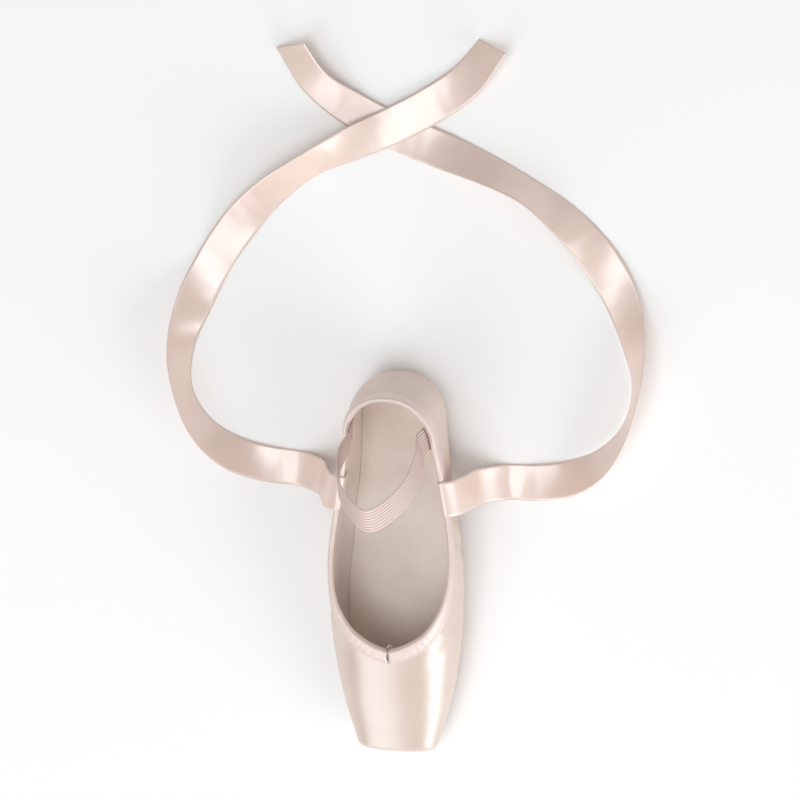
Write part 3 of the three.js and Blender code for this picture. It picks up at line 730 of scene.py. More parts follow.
def satin(name, light, dark, roughness, sheen):
    """Dyed satin: long floating threads side by side, a few slubs, and slow changes of tone."""
    material, tree, shader = new_material(name, light, roughness)
    threads = noise_on(tree, cloth_coordinates(tree, THREADS_PER_METRE), 1.0, 1.0)
    slubs = noise_on(tree, cloth_coordinates(tree, SLUBS_PER_METRE), 1.0)
    tones = noise_on(tree, solid_coordinates(tree, TONES_PER_METRE), 1.0)
    tone = ramp_of(tree, tones, dark, light, 0.25, 0.75)
    thread_tone = ramp_of(tree, slubs, SLUB_TONE, WHITE)
    both = {"Factor": 1.0, 6: tone, 7: thread_tone}
    dyed = add_node(tree, "Mix", {}, data_type="RGBA", blend_type="MULTIPLY")
    fill(dyed, both)
    glossy = {"Value": slubs, "To Min": roughness - SLUB_GLOSS, "To Max": roughness + SLUB_GLOSS}
    gloss = add_node(tree, "MapRange", glossy)
    fine = bump_of(tree, threads, 0.1, 0.00004)
    grain = add_node(tree, "Tangent", {}, direction_type="UV_MAP", uv_map="weave")
    fill(shader, SATIN_SHINE)
    fill(shader, {
        "Base Color": dyed.outputs[2],
        "Roughness": gloss.outputs["Result"],
        "Normal": bump_of(tree, slubs, 0.05, 0.00006, fine),
        "Tangent": grain.outputs["Tangent"],
        "Sheen Weight": sheen,
    })
    return material


def woven(name, light, dark, pitch, roughness, coordinates=solid_coordinates):
    """Plain-woven cotton: two sets of threads over and under each other."""
    material, tree, shader = new_material(name, light, roughness)
    vector = coordinates(tree)
    relief = None
    for direction in ("X", "Y"):
        threads = bands_on(tree, vector, direction, {"Scale": 0.32 / pitch, "Distortion": 0.6})
        relief = bump_of(tree, threads, 0.35, pitch * 0.3, relief)
    tone = ramp_of(tree, noise_on(tree, vector, 60.0, 4.0), dark, light)
    fill(shader, {"Base Color": tone, "Normal": relief, "Sheen Weight": 0.1})
    return material


SATIN_LIGHT = (0.725, 0.553, 0.467, 1)
SATIN_DARK = (0.675, 0.502, 0.41, 1)
upper_satin = satin("peach satin", SATIN_LIGHT, SATIN_DARK, 0.37, 0.02)
lining_cotton = woven("cotton lining", (0.86, 0.75, 0.68, 1), (0.80, 0.68, 0.61, 1), 0.0005, 0.85)
upper = object_from(upper_mesh(), "satin_upper", upper_satin, lining_cotton)
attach(upper, "root")
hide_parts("upper")

# ---- Insole --------------------------------------------------------------------------------------------
# Cotton stuck over thin leather board, cut to the last and laid in over the pleated margin. It is pressed
# a little hollow where the foot stands.

INSOLE_THICKNESS = 2
INSOLE_STRAIGHT_TO = 200
INSOLE_FRONT = 217
INSOLE_FRONT_ROUND = 16
INSOLE_HOLLOW = 0.7
INSOLE_EDGE_SOFT = 0.35
INSOLE_GAP = 0.2
INSOLE_STEPS = 12


def half_rings(rings):
    """A closed piece from half rings that start and end on its middle plane, mirrored to the other side."""
    bm = bmesh.new()
    lay_over(bm, rings, lambda i, k: (rings[i][k].y / 1000, rings[i][k].x / 1000))
    mirrored(bm)
    bmesh.ops.dissolve_degenerate(bm, dist=SAME_PLACE, edges=bm.edges)
    return finished(bm)


def insole_ring(s):
    """Under the insole from its middle to its edge, and back over its hollowed top."""
    surface = parallel(lambda t: -wall_at(t) - INSOLE_GAP, -TURNED_UNDER - INSOLE_GAP)
    bottom, bulge = section(s, surface)[:2]
    rise = INSOLE_THICKNESS / (bulge - bottom)
    top_v = AT_FLAT_EDGE + math.acos((1 - rise) ** (ROUNDNESS / 2)) * 2 / math.pi
    narrowed = rounded_end((INSOLE_FRONT - s) / INSOLE_FRONT_ROUND)
    ring = [place(s, top_v * k / INSOLE_STEPS, surface) for k in range(INSOLE_STEPS + 1)]
    edge = ring[-1]
    for k in range(INSOLE_STEPS, -1, -1):
        share = k / INSOLE_STEPS
        hollow = INSOLE_HOLLOW * (1 - share**2) * smoothstep(s / 20)
        softened = INSOLE_EDGE_SOFT * smoothstep((share - 0.8) / 0.2)
        ring.append(Vector((edge.x, edge.y * min(share, 0.985), edge.z - hollow - softened + 0.3)))
    return [Vector((p.x, p.y * narrowed, p.z)) for p in ring]


insole_stations = spread(0, HEEL_ROUND, 16, slow_start)
insole_stations += spread(HEEL_ROUND, INSOLE_STRAIGHT_TO, 60)
insole_stations += spread(INSOLE_STRAIGHT_TO, INSOLE_FRONT, 14, slow_end) + [INSOLE_FRONT]
insole_cotton = woven("insole cotton", (0.89, 0.79, 0.71, 1), (0.83, 0.72, 0.64, 1), 0.0006, 0.9)
insole = object_from(half_rings([insole_ring(s) for s in insole_stations]), "insole_sock", insole_cotton)
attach(insole, "root")
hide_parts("insole")

# ---- Outsole -------------------------------------------------------------------------------------------
# One piece of thin suede-finished leather, narrow at the waist, skived round its edge and sewn and stuck
# over the pleats. It is scored under the ball so that it grips.

SKIVE_WIDTH = 1.2
SKIVE_HEIGHT = 0.9
GROOVE_IN = 3.2
GROOVE_HALF_WIDTH = 0.45
GROOVE_DEPTH = 0.28
OUTSOLE_TOP = OUTSOLE_THICKNESS + CLEARANCE + 0.05
HEEL_END = 25
TOE_END = 187
# The edge under the skive: how far in from the outline, and how high.
OUTSOLE_EDGE = [(0.0, 0.8), (0.06, 0.35), (0.35, 0.05), (0.8, 0.0)]
# The scoring starts and ends at these shares of the shoe's length, each fading over a short stretch.
SCORED = [(0.5, 0.53), (0.78, 0.82)]
CUT_ANGLE = 0.62
CUTS = {"Scale": 98.0, "Distortion": 0.5, "Detail": 1.0}
LEATHER = (0.66, 0.5, 0.4, 1)
LEATHER_LIGHT = (0.76, 0.61, 0.51, 1)
LEATHER_DARK = (0.6, 0.455, 0.37, 1)
# Colour of the scored cut lines: partly the cut leather's own tone, partly painted shade in the grooves.
CUT_LEATHER_AND_GROOVE_SHADE = (0.42, 0.3, 0.235, 1)


def outsole_ring(s):
    """Over the sole from its middle, down the skived edge, and back underneath past the stitch groove."""
    half = max(outsole_half(s), 0.0)
    small = min(1, half / 7)
    skived = half - SKIVE_WIDTH * small
    profile = [(skived * k / 6, OUTSOLE_TOP) for k in range(7)]
    for k in range(1, 6):
        turn = k / 5 * math.pi / 2
        out = skived + SKIVE_WIDTH * small * math.sin(turn)
        profile.append((out, OUTSOLE_TOP - SKIVE_HEIGHT * (1 - math.cos(turn))))
    profile += [(half - inward * small, height) for inward, height in OUTSOLE_EDGE]
    groove = half - GROOVE_IN * small
    profile += [(groove + GROOVE_HALF_WIDTH * small, 0.0), (groove, GROOVE_DEPTH * small)]
    inside = groove - GROOVE_HALF_WIDTH * small
    profile += [(inside * (1 - k / 12), 0.0) for k in range(13)]
    lift = read(LAST, LIFT, s / SHOE_LENGTH)
    return [Vector((s, max(y, 0), z + lift)) for y, z in profile]


def scored_part(tree):
    """White under the ball, where the leather is scored, and black elsewhere."""
    along = add_node(tree, "SeparateXYZ", {"Vector": solid_coordinates(tree)}).outputs["X"]
    half = SHOE_LENGTH / 2000
    share = add_node(tree, "MapRange", {"Value": along, "From Min": -half, "From Max": half})
    (start, full), (end, gone) = SCORED
    colour = ramp_of(tree, share.outputs["Result"], BLACK, WHITE, start, full)
    for position, value in ((end, WHITE), (gone, BLACK)):
        colour.node.color_ramp.elements.new(position).color = value
    return colour


def cut_lines(tree, turn):
    lines = bands_on(tree, solid_coordinates(tree, turn=turn), "X", CUTS)
    return ramp_of(tree, lines, WHITE, BLACK, 0.0, 0.13)


def sole_leather():
    """Nude leather with a brushed nap, slow random changes of tone, and cut lines under the ball."""
    material, tree, shader = new_material("sole leather", LEATHER, 0.72)
    own = solid_coordinates(tree)
    nap = noise_on(tree, own, 900.0, 5.0, 0.6)
    tone = ramp_of(tree, noise_on(tree, own, 38.0, 4.0, 0.55), LEATHER_DARK, LEATHER_LIGHT, 0.3, 0.72)
    crossed = {0: cut_lines(tree, CUT_ANGLE), 1: cut_lines(tree, -CUT_ANGLE)}
    cuts = add_node(tree, "Math", crossed, operation="MAXIMUM").outputs["Value"]
    under_ball = {0: cuts, 1: scored_part(tree)}
    scored = add_node(tree, "Math", under_ball, operation="MULTIPLY").outputs["Value"]
    # The cut lines are coloured darker: the cut leather's own tone together with painted shade in the
    # grooves.
    colour = add_node(tree, "Mix", {}, data_type="RGBA")
    fill(colour, {"Factor": scored, 6: tone, 7: CUT_LEATHER_AND_GROOVE_SHADE})
    fuzz = bump_of(tree, nap, 0.35, 0.00025)
    relief = bump_of(tree, scored, 0.7, 0.0004, fuzz, invert=True)
    fill(shader, {"Base Color": colour.outputs[2], "Normal": relief, "Sheen Weight": 0.12})
    return material


outsole_stations = spread(OUTSOLE_BACK, HEEL_END, 16, slow_start) + spread(HEEL_END, TOE_END, 64)
outsole_stations += spread(TOE_END, OUTSOLE_FRONT, 16, slow_end) + [OUTSOLE_FRONT]
outsole_mesh = half_rings([outsole_ring(s) for s in outsole_stations])
outsole = object_from(outsole_mesh, "leather_outsole", sole_leather())
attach(outsole, "root")
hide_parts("outsole")

# ---- Binding -------------------------------------------------------------------------------------------
# A bias strip of satin folded over the collar's raw edge and sewn down through all layers, which makes the
# casing for the drawstring. Its two ends meet at the throat and leave a small slit for the knot.

BINDING_WIDTH = 8
BINDING_CLOTH = 0.5
BINDING_WEAVE = 0.02  # width of the folded strip in its own cloth coordinates
COLLAR_STEPS = 230
# How far down from the collar's edge, and how far the strip's middle stands off the satin.
BINDING_PROFILE = [
    (1.3, 0.6),
    (2.0, 0.64),
    (2.9, 0.66),
    (3.9, 0.64),
    (4.9, 0.58),
    (5.7, 0.48),
    (6.25, 0.4),
    (6.6, 0.3),
    (6.95, 0.4),
    (7.4, 0.44),
    (8.0, 0.32),
]
STITCH_LINE = 7
TOP_STEPS = 8
SLIT = {"length": 7.0, "half_width": 0.74, "reach": 2.2}
HALF_GAP = 0.04
PUCKER_PITCH = 4.4
PUCKER = {"at_throat": 0.2, "fades_over": 30, "elsewhere": 0.045}

collar_rows = []
moved_row, gone = collar_line(COLLAR_STEPS), 0.0
for depth, _ in BINDING_PROFILE:
    moved_row = moved_down(moved_row, depth - gone)
    gone = depth
    collar_rows.append(moved_row)
collar_points = [place(s, v, OUTSIDE) for s, v in collar_line(COLLAR_STEPS)]
COLLAR_PITCH = lengths_along(collar_points)[-1] / COLLAR_STEPS


def puckers(i, side, depth):
    """Small gathers that the drawstring makes in the casing, strongest near the throat."""
    from_throat = i * COLLAR_PITCH
    near = math.exp(-from_throat / PUCKER["fades_over"])
    height = PUCKER["at_throat"] * near + PUCKER["elsewhere"]
    wobble = 1.6 * noise.noise(Vector((from_throat / 9, side * 3.7, 0.4)))
    wave = math.sin(from_throat * 2 * math.pi / PUCKER_PITCH + wobble * 2.2 + side)
    return height * wave * math.sin(math.pi * min(1, depth / BINDING_WIDTH))


def binding_point(i, side, row, inside):
    """A point of the folded strip's middle, on the half of the collar that side gives."""
    depth, off = BINDING_PROFILE[row]
    tucked = mix(0.3, 1, smoothstep(i * COLLAR_PITCH / 1.3))
    off = (off + puckers(i, side, depth)) * tucked
    surface = parallel(lambda t: -wall_at(t) - off) if inside else parallel(off)
    p = place(*collar_rows[row][i], surface)
    slit = SLIT["half_width"] * math.sin(math.pi * clamp(depth / SLIT["length"])) ** 0.8
    p.y += slit * math.exp(-((p.y / SLIT["reach"]) ** 2)) + HALF_GAP
    return Vector((p.x, side * p.y, p.z))


def binding_section(i, side):
    """The folded strip from its outer edge over the top of the collar to its inner edge."""
    outer = [binding_point(i, side, row, False) for row in range(len(BINDING_PROFILE))]
    inner = [binding_point(i, side, row, True) for row in range(len(BINDING_PROFILE))]
    middle, across = (outer[0] + inner[0]) / 2, (outer[0] - inner[0]) / 2
    up = ((outer[0] + inner[0]) - (outer[2] + inner[2])).normalized()
    up = (up - across * up.dot(across) / across.length_squared).normalized()
    ease = 0.06 * math.sin(i * COLLAR_PITCH / 2.1 + side) * math.exp(-i * COLLAR_PITCH / 60)
    rise = BINDING_PROFILE[0][0] + ease - 0.15
    top = []
    for k in range(1, TOP_STEPS):
        turn = math.pi * k / TOP_STEPS
        top.append(middle + across * math.cos(turn) + up * rise * math.sin(turn))
    return outer[::-1] + top + inner


def binding_mesh():
    n = COLLAR_STEPS
    rows = [binding_section(i, 1) for i in range(n + 1)]
    rows += [binding_section(i, -1) for i in range(n - 1, -1, -1)]
    for p in rows[n]:
        p.y = 0
    bm = bmesh.new()
    tall = len(rows[0]) - 1
    lay_over(bm, rows, lambda i, k: (k / tall * BINDING_WEAVE, i * COLLAR_PITCH / 1000))
    return finished(bm)


def thickened(piece, thickness):
    """Cloth of a real thickness, half of it on each side of the mesh."""
    solidify = piece.modifiers.new("cloth thickness", "SOLIDIFY")
    solidify.thickness = thickness
    solidify.offset = 0.0
    solidify.use_even_offset = True


binding_satin = satin("binding satin", (0.80, 0.62, 0.55, 1), (0.74, 0.555, 0.485, 1), 0.46, 0.2)
binding = object_from(binding_mesh(), "collar_binding", binding_satin)
thickened(binding, BINDING_CLOTH / 1000)
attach(binding, "root")
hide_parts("binding")

STITCH_PITCH = 2.3
STITCH_LENGTH = 1.55
FIRST_STITCH = 1.4  # from the throat
THREAD = 0.17
HAND_THREAD = 0.2


def stitch(bm, start, end, normal, thread):
    """One stitch: a short rounded length of thread that dips in at both ends. Millimetres."""
    run = end - start
    out = (normal - run * normal.dot(run) / run.length_squared).normalized()
    side = out.cross(run).normalized()
    turn = Matrix((side, out, run.normalized())).transposed().to_4x4()
    size = Matrix.Diagonal((thread, thread, run.length / 2, 1))
    where = Matrix.Translation((start + end) / 2) @ turn @ size
    made = bmesh.ops.create_uvsphere(bm, u_segments=6, v_segments=5, radius=1, matrix=where)
    for vert in made["verts"]:
        vert.co = in_metres(vert.co)


def row_of_stitches(bm, side, inside):
    """The machine stitches along one half of the binding, on the outside or the inside of the shoe."""
    above, line, below = [
        [binding_point(i, side, row, inside) for i in range(COLLAR_STEPS + 1)]
        for row in (STITCH_LINE - 2, STITCH_LINE, STITCH_LINE + 2)
    ]
    run = lengths_along(line)
    at, k = FIRST_STITCH, 1
    while at + STITCH_LENGTH < run[-1] - 0.3:
        ends = []
        for target in (at, at + STITCH_LENGTH):
            while run[k] < target:
                k += 1
            ends.append(line[k - 1].lerp(line[k], (target - run[k - 1]) / (run[k] - run[k - 1])))
        normal = (ends[1] - ends[0]).cross(below[k] - above[k]).normalized()
        from_middle = line[k] - Vector((line[k].x, 0, 20))
        if normal.dot(-from_middle if inside else from_middle) < 0:
            normal = -normal
        lifted = normal * (BINDING_CLOTH / 2 + 0.06)
        stitch(bm, ends[0] + lifted, ends[1] + lifted, normal, THREAD)
        at += STITCH_PITCH


thread_cotton = woven("sewing thread", (0.78, 0.61, 0.54, 1), (0.70, 0.53, 0.46, 1), 0.0002, 0.6)
sewing = bmesh.new()
for side in (1, -1):
    row_of_stitches(sewing, side, inside=False)
    row_of_stitches(sewing, side, inside=True)
binding_stitches = object_from(sewing, "binding_stitches", thread_cotton)
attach(binding_stitches, "root")

# ---- Drawstring ----------------------------------------------------------------------------------------
# A soft twisted cotton cord that runs in the casing. It is drawn up, tied in one knot inside the throat
# and its two cut ends are tucked under the vamp.

CORD_RADIUS = 0.85
CORD_TWIST = 3.4  # length of one turn of its three strands
CORD_PITCH = 0.28
CORD_SIDES = 24
CORD_WEAVE = 0.005  # once round the cord, in its own cloth coordinates
KNOT_SIZE = 0.62
KNOT_STEPS = 16
CURVE_STEPS = 24


def along_curve(points, w, k):
    """A centripetal Catmull-Rom curve through the points, at share w of the way from point k to the next."""
    p1, p2 = points[k], points[k + 1]
    p0 = points[k - 1] if k > 0 else p1 * 2 - p2
    p3 = points[k + 2] if k + 2 < len(points) else p2 * 2 - p1
    d0 = max((p1 - p0).length_squared ** 0.25, 1e-4)
    d1 = max((p2 - p1).length_squared ** 0.25, 1e-4)
    d2 = max((p3 - p2).length_squared ** 0.25, 1e-4)
    t1 = ((p1 - p0) / d0 - (p2 - p0) / (d0 + d1) + (p2 - p1) / d1) * d1
    t2 = ((p2 - p1) / d1 - (p3 - p1) / (d1 + d2) + (p3 - p2) / d2) * d1
    a = p1 * 2 - p2 * 2 + t1 + t2
    b = p2 * 3 - p1 * 3 - t1 * 2 - t2
    return ((a * w + b) * w + t1) * w + p1


def evenly(points, pitch):
    """Places (k, w) evenly spaced along the curve through the points, and its length."""
    last = len(points) - 2
    spots = [(k, i / CURVE_STEPS) for k in range(last + 1) for i in range(CURVE_STEPS)] + [(last, 1.0)]
    run = lengths_along([along_curve(points, w, k) for k, w in spots])
    count = max(2, round(run[-1] / pitch))
    places, i = [], 1
    for j in range(count + 1):
        target = run[-1] * j / count
        while i < len(run) - 1 and run[i] < target:
            i += 1
        t = (target - run[i - 1]) / max(run[i] - run[i - 1], NEARLY)
        where = mix(sum(spots[i - 1]), sum(spots[i]), t)
        k = min(int(where), last)
        places.append((k, where - k))
    return places, run[-1]


def closed_ends(bm):
    """The long edges joined, and the open ends closed with a face each."""
    bmesh.ops.remove_doubles(bm, verts=bm.verts, dist=SAME_PLACE)
    bmesh.ops.holes_fill(bm, edges=[edge for edge in bm.edges if edge.is_boundary], sides=0)
    return finished(bm)


def tube(points, pitch, sides, radius_at):
    """A round cord along the curve, its two ends closed."""
    places, length = evenly(points, pitch)
    line = [along_curve(points, w, k) for k, w in places]
    long = len(line) - 1
    rows, side = [], Vector((0, 0, 1))
    for i, p in enumerate(line):
        tangent = (line[min(i + 1, long)] - line[max(i - 1, 0)]).normalized()
        side = (side - tangent * side.dot(tangent)).normalized()
        other = tangent.cross(side)
        row = []
        for k in range(sides + 1):
            turn = 2 * math.pi * (k % sides) / sides
            r = radius_at(length * i / long, length, turn)
            row.append(p + side * (r * math.cos(turn)) + other * (r * math.sin(turn)))
        rows.append(row)
    bm = bmesh.new()
    lay_over(bm, rows, lambda i, k: (k / sides * CORD_WEAVE, i / long * length / 1000))
    return closed_ends(bm)


def strands(along, length, turn):
    """The radius of a three-strand cord, drawn in where its ends are cut."""
    twist = 0.84 + 0.16 * abs(math.cos(1.5 * (turn + 2 * math.pi * along / CORD_TWIST)))
    end = rounded_end(min(along, length - along) / 1.2 + 0.25)
    return CORD_RADIUS * twist * end


def knot_loop(i):
    """A place on the knot itself, which is a trefoil lying flat and open towards the toe."""
    t = 0.5 + (2 * math.pi - 1.0) * i / KNOT_STEPS
    x = KNOT_SIZE * (math.cos(t) - 2 * math.cos(2 * t))
    y = -KNOT_SIZE * (math.sin(t) + 2 * math.sin(2 * t))
    return Vector((x, y, -1.15 * math.sin(3 * t)))


knot_at = place(THROAT, AT_CROWN, LINING) + Vector((1.5, 0, -4.6))
knot_line = [Vector((15, -7, -6.5)), Vector((9, -4.4, -3.6)), Vector((4.6, -2.4, -1.2))]
knot_line += [knot_loop(i) for i in range(KNOT_STEPS + 1)]
knot_line += [Vector((4.6, 2.4, -1.6)), Vector((9, 4.4, -4)), Vector((15, 7, -6.5))]
knot_line = [knot_at + p for p in knot_line]
cord_cotton = woven(
    "cotton cord", (0.84, 0.72, 0.65, 1), (0.74, 0.6, 0.53, 1), 0.0003, 0.85, cloth_coordinates
)
drawstring = object_from(tube(knot_line, CORD_PITCH, CORD_SIDES, strands), "drawstring_cord", cord_cotton)
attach(drawstring, "root")
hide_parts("drawstring")

# ---- Elastic -------------------------------------------------------------------------------------------
# A band of ribbed elastic: rubber cores covered with yarn, side by side in a thin open knit. It goes over
# the ankle and its two ends are sewn flat inside the quarters.

ELASTIC_WIDTH = 20
ELASTIC_RIBS = 8
ELASTIC_RIB_THICKNESS = 1.25
ELASTIC_WEB_THICKNESS = 0.55
ELASTIC_SEWN_AT = 27
ELASTIC_BELOW_EDGE = [12, 3, -8]
ELASTIC_PITCH = 1.1
ELASTIC_STEPS = 64
# Its middle above the collar on the side y > 0, and how far its width has turned to lie over the ankle.
ELASTIC = [
    ((40, 23.5, 72), 0.45),
    ((54, 18.5, 91), 0.8),
    ((66, 0, 104), 1),
]
OVER_ANKLE = Vector((0.82, 0, -0.57))
SEWN_CLOSE = 1.5  # from the lining to the middle of what is sewn to it, over the binding
SWUNG_FREE = 3.45  # the same once it has left the quarter
YARN_WOUND = {"Scale": 480.0, "Distortion": 0.8}
RIB_BANDS = {
    "Scale": 2 * math.pi / 20 / (ELASTIC_WIDTH / ELASTIC_RIBS / 1000),
    "Phase Offset": math.pi / 2,
}


def collar_direction(s):
    """The direction of the collar's edge at s, on the side y > 0, towards the toe."""
    ahead = place(s + 2, collar_v(s + 2), LINING)
    return (ahead - place(s - 2, collar_v(s - 2), LINING)).normalized()


def inside_collar(s, below, hold):
    """A place on the inner side of the quarter, so far below the collar's edge and off the lining."""
    surface = parallel(lambda t: -wall_at(t) - hold)
    edge = place(s, collar_v(s), surface)
    up = (edge - place(s, collar_v(s) - 0.2, surface)).normalized()
    return edge - up * below


def elastic_line(across):
    """The points that one lengthwise thread of the elastic follows, across mm from its middle."""
    sewn = collar_direction(ELASTIC_SEWN_AT)
    at = ELASTIC_SEWN_AT + across * 0.88
    *low, high = ELASTIC_BELOW_EDGE
    half = [inside_collar(at, below, SEWN_CLOSE) for below in low]
    free = inside_collar(ELASTIC_SEWN_AT, high, SWUNG_FREE) + sewn * across
    half.append(inside_collar(at, high, SEWN_CLOSE).lerp(free, 0.6))
    for middle, turned in ELASTIC:
        direction = sewn.lerp(OVER_ANKLE, turned).normalized()
        half.append(Vector(middle) + direction * across)
    other = [Vector((p.x, -p.y, p.z)) for p in half[:-1]]
    return half + other[::-1]


def sheet_along(line_at, width, pitch, steps):
    """Rows of points along a strap whose lengthwise threads each follow their own curve."""
    places, length = evenly(line_at(0.0), pitch)
    offsets = [width * (j / steps - 0.5) for j in range(steps + 1)]
    curves = [line_at(offset) for offset in offsets]
    return [[along_curve(c, w, k) for c in curves] for k, w in places], offsets, length


def runs_at(sheet, i, j):
    """The directions along and across a strap at a place."""
    along = sheet[min(i + 1, len(sheet) - 1)][j] - sheet[max(i - 1, 0)][j]
    across = sheet[i][min(j + 1, len(sheet[i]) - 1)] - sheet[i][max(j - 1, 0)]
    return along, across


def flat_band(sheet, offsets, length, pitch, thickness_at):
    """A closed flat band round a strap's middle sheet: across its top and back underneath."""
    last, steps = len(sheet) - 1, len(offsets) - 1
    around = [(j, 1) for j in range(steps + 1)] + [(j, -1) for j in range(steps, -1, -1)] + [(0, 1)]
    rows = []
    for i, row in enumerate(sheet):
        from_end = min(i, last - i) * pitch
        points = []
        for j, face in around:
            along, across = runs_at(sheet, i, j)
            thick = thickness_at(offsets[j], from_end)
            points.append(row[j] + along.cross(across).normalized() * (face * thick / 2))
        rows.append(points)
    bm = bmesh.new()
    lay_over(bm, rows, lambda i, k: (offsets[around[k][0]] / 1000, length * i / last / 1000))
    return closed_ends(bm)


def elastic_thickness(across, from_end):
    rib = (across / ELASTIC_WIDTH + 0.5) * ELASTIC_RIBS % 1.0
    high = max(0.0, 1 - (abs(rib - 0.5) / 0.36) ** 2) ** 0.5
    return mix(ELASTIC_WEB_THICKNESS, ELASTIC_RIB_THICKNESS, high)


def elastic_knit():
    """Covered rubber: fine yarn wound across each rib, with painted shade as dark lines in the thin net
    between the ribs.
    """
    material, tree, shader = new_material("ribbed elastic", (0.8, 0.64, 0.58, 1), 0.62)
    own = cloth_coordinates(tree)
    ribs = bands_on(tree, own, "X", RIB_BANDS)
    # Painted shade: the valleys between the ribs are coloured darker.
    tone = ramp_of(tree, ribs, (0.82, 0.66, 0.6, 1), (0.6, 0.43, 0.375, 1), 0.45, 0.95)
    winding = bump_of(tree, bands_on(tree, own, "Y", YARN_WOUND), 0.5, 0.00018)
    fill(shader, {"Base Color": tone, "Normal": winding, "Sheen Weight": 0.15})
    return material


elastic_sheet, offsets, length = sheet_along(elastic_line, ELASTIC_WIDTH, ELASTIC_PITCH, ELASTIC_STEPS)
elastic_mesh = flat_band(elastic_sheet, offsets, length, ELASTIC_PITCH, elastic_thickness)
elastic = object_from(elastic_mesh, "ankle_elastic", elastic_knit())
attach(elastic, "root")
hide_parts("elastic")


def box_of_stitches(bm, sheet, first_row, last_row, inset, thickness):
    """Hand stitches in a square through a sewn end, on the side that faces into the shoe."""
    last = len(sheet[0]) - 1
    inner = round(inset * last)

    def inward(i, j):
        along, across = runs_at(sheet, i, j)
        normal = along.cross(across).normalized()
        into_shoe = Vector((0, -sheet[i][j].y, 0))
        return normal if normal.dot(into_shoe) > 0 else -normal

    corners = [(first_row, inner), (last_row, inner), (last_row, last - inner), (first_row, last - inner)]
    for (i0, j0), (i1, j1) in zip(corners, corners[1:] + corners[:1]):
        count = max(2, round((sheet[i1][j1] - sheet[i0][j0]).length / 2.2))
        for step in range(count):
            ends = []
            for share in ((step + 0.2) / count, (step + 0.82) / count):
                i, j = round(mix(i0, i1, share)), round(mix(j0, j1, share))
                ends.append(sheet[i][j] + inward(i, j) * (thickness / 2 + 0.08))
            if (ends[1] - ends[0]).length > 0.3:
                stitch(bm, ends[0], ends[1], inward(round(mix(i0, i1, 0.5)), j0), HAND_THREAD)


sewing = bmesh.new()
end_row = len(elastic_sheet) - 1
for first_row, last_row in ((2, 9), (end_row - 9, end_row - 2)):
    box_of_stitches(sewing, elastic_sheet, first_row, last_row, 0.08, ELASTIC_RIB_THICKNESS)
elastic_stitches = object_from(sewing, "elastic_stitches", thread_cotton)
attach(elastic_stitches, "root")

# ---- Ribbons -------------------------------------------------------------------------------------------
# Two lengths of satin ribbon with woven edges, each sewn inside a quarter. They rise over the bound
# collar, fall to the floor and lie loose, flat where they run straight and on edge round the bends.

RIBBON_WIDTH = 22
RIBBON_THICKNESS = 0.4
RIBBON_SEWN_AT = 70
RIBBON_BELOW_EDGE = [15, 8, 2]
RIBBON_PITCH = 1.25
RIBBON_STEPS = 14
RIBBON_STIFF_ROWS = 30  # rows from the sewn end that lie smooth
RIBBON_RIPPLE = 0.45
RIBBON_CUP = 0.35
CUT_ROWS = 12
CUT_SLANT = 3.4
# Over the collar: across the shoe and up, from the lining's edge, its middle and the satin's edge.
OVER_COLLAR = [(-0.75, 0.15), (0.1, 0.75), (0.95, 0.05)]
# Once over the collar: forward, out and up from its edge.
RIBBON_FALL = [
    (-0.3, 6.6, -4.2),
    (-0.8, 11.6, -15),
    (-1.4, 16.8, -28),
]
# On the floor, from the shoe to the free end: x, y, how far it stands up on one edge in degrees, and how
# far it is raised to pass over the other ribbon.
RIGHT_RIBBON = [
    (68, 64, 0, 0),
    (67, 82, 6, 0),
    (62, 102, 26, 0),
    (50, 121, 56, 0),
    (30, 135, 74, 0),
    (5, 141, 70, 0),
    (-21, 139, 42, 0),
    (-47, 131, 10, 0),
    (-72, 117, -12, 0),
    (-94, 98, -40, 0),
    (-112, 75, -58, 0),
    (-124, 49, -46, 0),
    (-133, 22, -16, 0),
    (-142, -5, 0, 0),
    (-154, -30, 6, 0),
    (-170, -52, 24, 0),
    (-192, -67, 30, 0),
]
LEFT_RIBBON = [
    (67, -64, 0, 0),
    (65, -83, 8, 0),
    (58, -104, 34, 0),
    (43, -122, 62, 0),
    (21, -133, 74, 0),
    (-5, -135, 56, 0),
    (-32, -128, 22, 0),
    (-58, -116, 0, 0),
    (-83, -99, 10, 0),
    (-104, -79, 34, 0),
    (-121, -56, 44, 0.3),
    (-134, -31, 22, 1.2),
    (-146, -6, 2, 1.7),
    (-159, 17, 0, 1.2),
    (-175, 38, -16, 0.3),
    (-196, 54, -34, 0),
]


def ribbon_line(floor_rows, side, across):
    """The points that one lengthwise thread of a ribbon follows, across mm from its middle."""
    at = RIBBON_SEWN_AT + across * 0.985
    line = [inside_collar(at, below, SEWN_CLOSE - 0.35) for below in RIBBON_BELOW_EDGE]
    outer, inner = (place(at, collar_v(at), surface) for surface in (OUTSIDE, LINING))
    for start, (out, up) in zip((inner, (outer + inner) / 2, outer), OVER_COLLAR):
        line.append(start + Vector((0, out, up)))
    edge = place(RIBBON_SEWN_AT, collar_v(RIBBON_SEWN_AT), OUTSIDE)
    direction = collar_direction(RIBBON_SEWN_AT)
    for fall in RIBBON_FALL:
        line.append(edge + Vector(fall) + direction * across)
    line = [Vector((p.x, side * p.y, p.z)) for p in line]
    last = len(floor_rows) - 1
    for i, (x, y, tilt, lift) in enumerate(floor_rows):
        before, after = floor_rows[max(0, i - 1)], floor_rows[min(last, i + 1)]
        rise = math.radians(tilt)
        level = Vector((after[1] - before[1], before[0] - after[0], 0)).normalized()
        width_way = level * (side * math.cos(rise)) + Vector((0, 0, math.sin(rise)))
        standing = RIBBON_WIDTH / 2 * abs(math.sin(rise))
        line.append(Vector((x, y, standing + RIBBON_THICKNESS / 2 + 0.15 + lift)) + width_way * across)
    return line


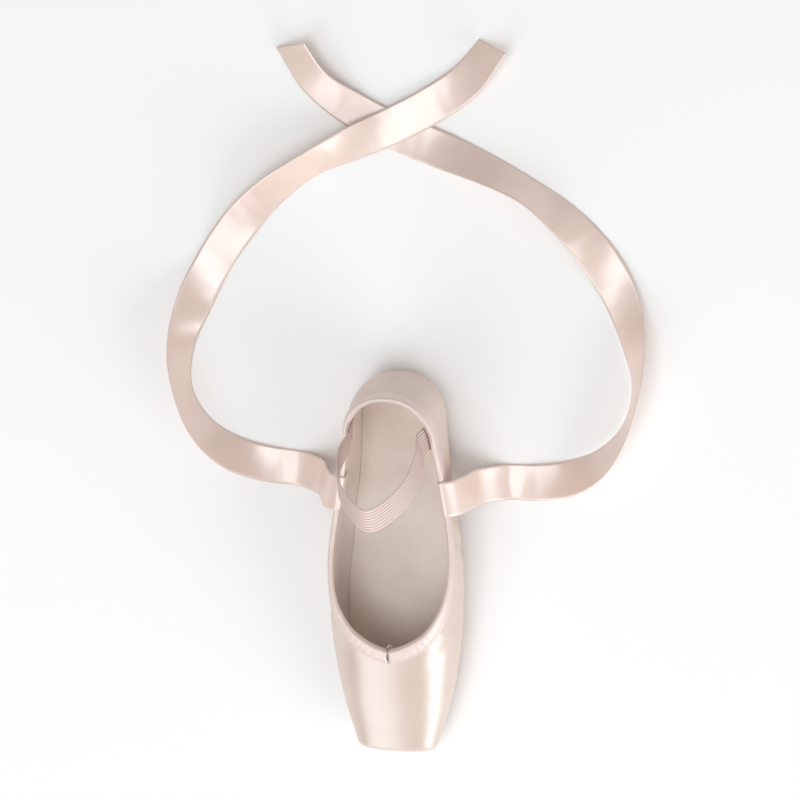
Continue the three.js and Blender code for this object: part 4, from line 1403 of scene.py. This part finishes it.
def relaxed(sheet, offsets, seed):
    """The ribbon's sheet with a slight cup and soft ripples, and its end cut on the slant."""
    last = len(sheet) - 1
    rows = []
    for i, row in enumerate(sheet):
        free = smoothstep((i - RIBBON_STIFF_ROWS) / 30)
        cut = max(0, i - last + CUT_ROWS) / CUT_ROWS
        points = []
        for j, p in enumerate(row):
            share = offsets[j] / RIBBON_WIDTH * 2
            ripple = noise.noise(Vector((i * RIBBON_PITCH / 16, share * 0.5, seed)))
            ripple += 0.5 * noise.noise(Vector((i * RIBBON_PITCH / 7, share * 0.8, seed + 9)))
            lift = max(0, RIBBON_RIPPLE * (ripple + 0.6) * free) + RIBBON_CUP * share * share * free
            p = p - runs_at(sheet, i, j)[0].normalized() * (CUT_SLANT * share * cut)
            points.append(Vector((p.x, p.y, max(p.z + lift, RIBBON_THICKNESS / 2 + 0.12))))
        rows.append(points)
    return rows


ribbon_satin = satin("ribbon satin", (0.87, 0.655, 0.56, 1), (0.82, 0.6, 0.5, 1), 0.33, 0.12)
for name, floor_rows, side, seed in (("right", RIGHT_RIBBON, 1, 3.1), ("left", LEFT_RIBBON, -1, 7.7)):
    sheet, offsets, length = sheet_along(
        lambda across: ribbon_line(floor_rows, side, across), RIBBON_WIDTH, RIBBON_PITCH, RIBBON_STEPS
    )
    ribbon_mesh = bmesh.new()
    end_row = len(sheet) - 1
    lay_over(
        ribbon_mesh,
        relaxed(sheet, offsets, seed),
        lambda i, j: (offsets[j] / 1000, length * i / end_row / 1000),
    )
    ribbon = object_from(finished(ribbon_mesh), "satin_ribbon_" + name, ribbon_satin)
    thickened(ribbon, RIBBON_THICKNESS / 1000)
    path = [in_metres(row[RIBBON_STEPS // 2]) for row in sheet]
    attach(ribbon, "root")
    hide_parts("ribbon_" + name)
    sewing = bmesh.new()
    box_of_stitches(sewing, sheet, 1, 9, 0.1, RIBBON_THICKNESS)
    ribbon_stitches = object_from(sewing, "ribbon_stitches_" + name, thread_cotton)
    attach(ribbon_stitches, "root")
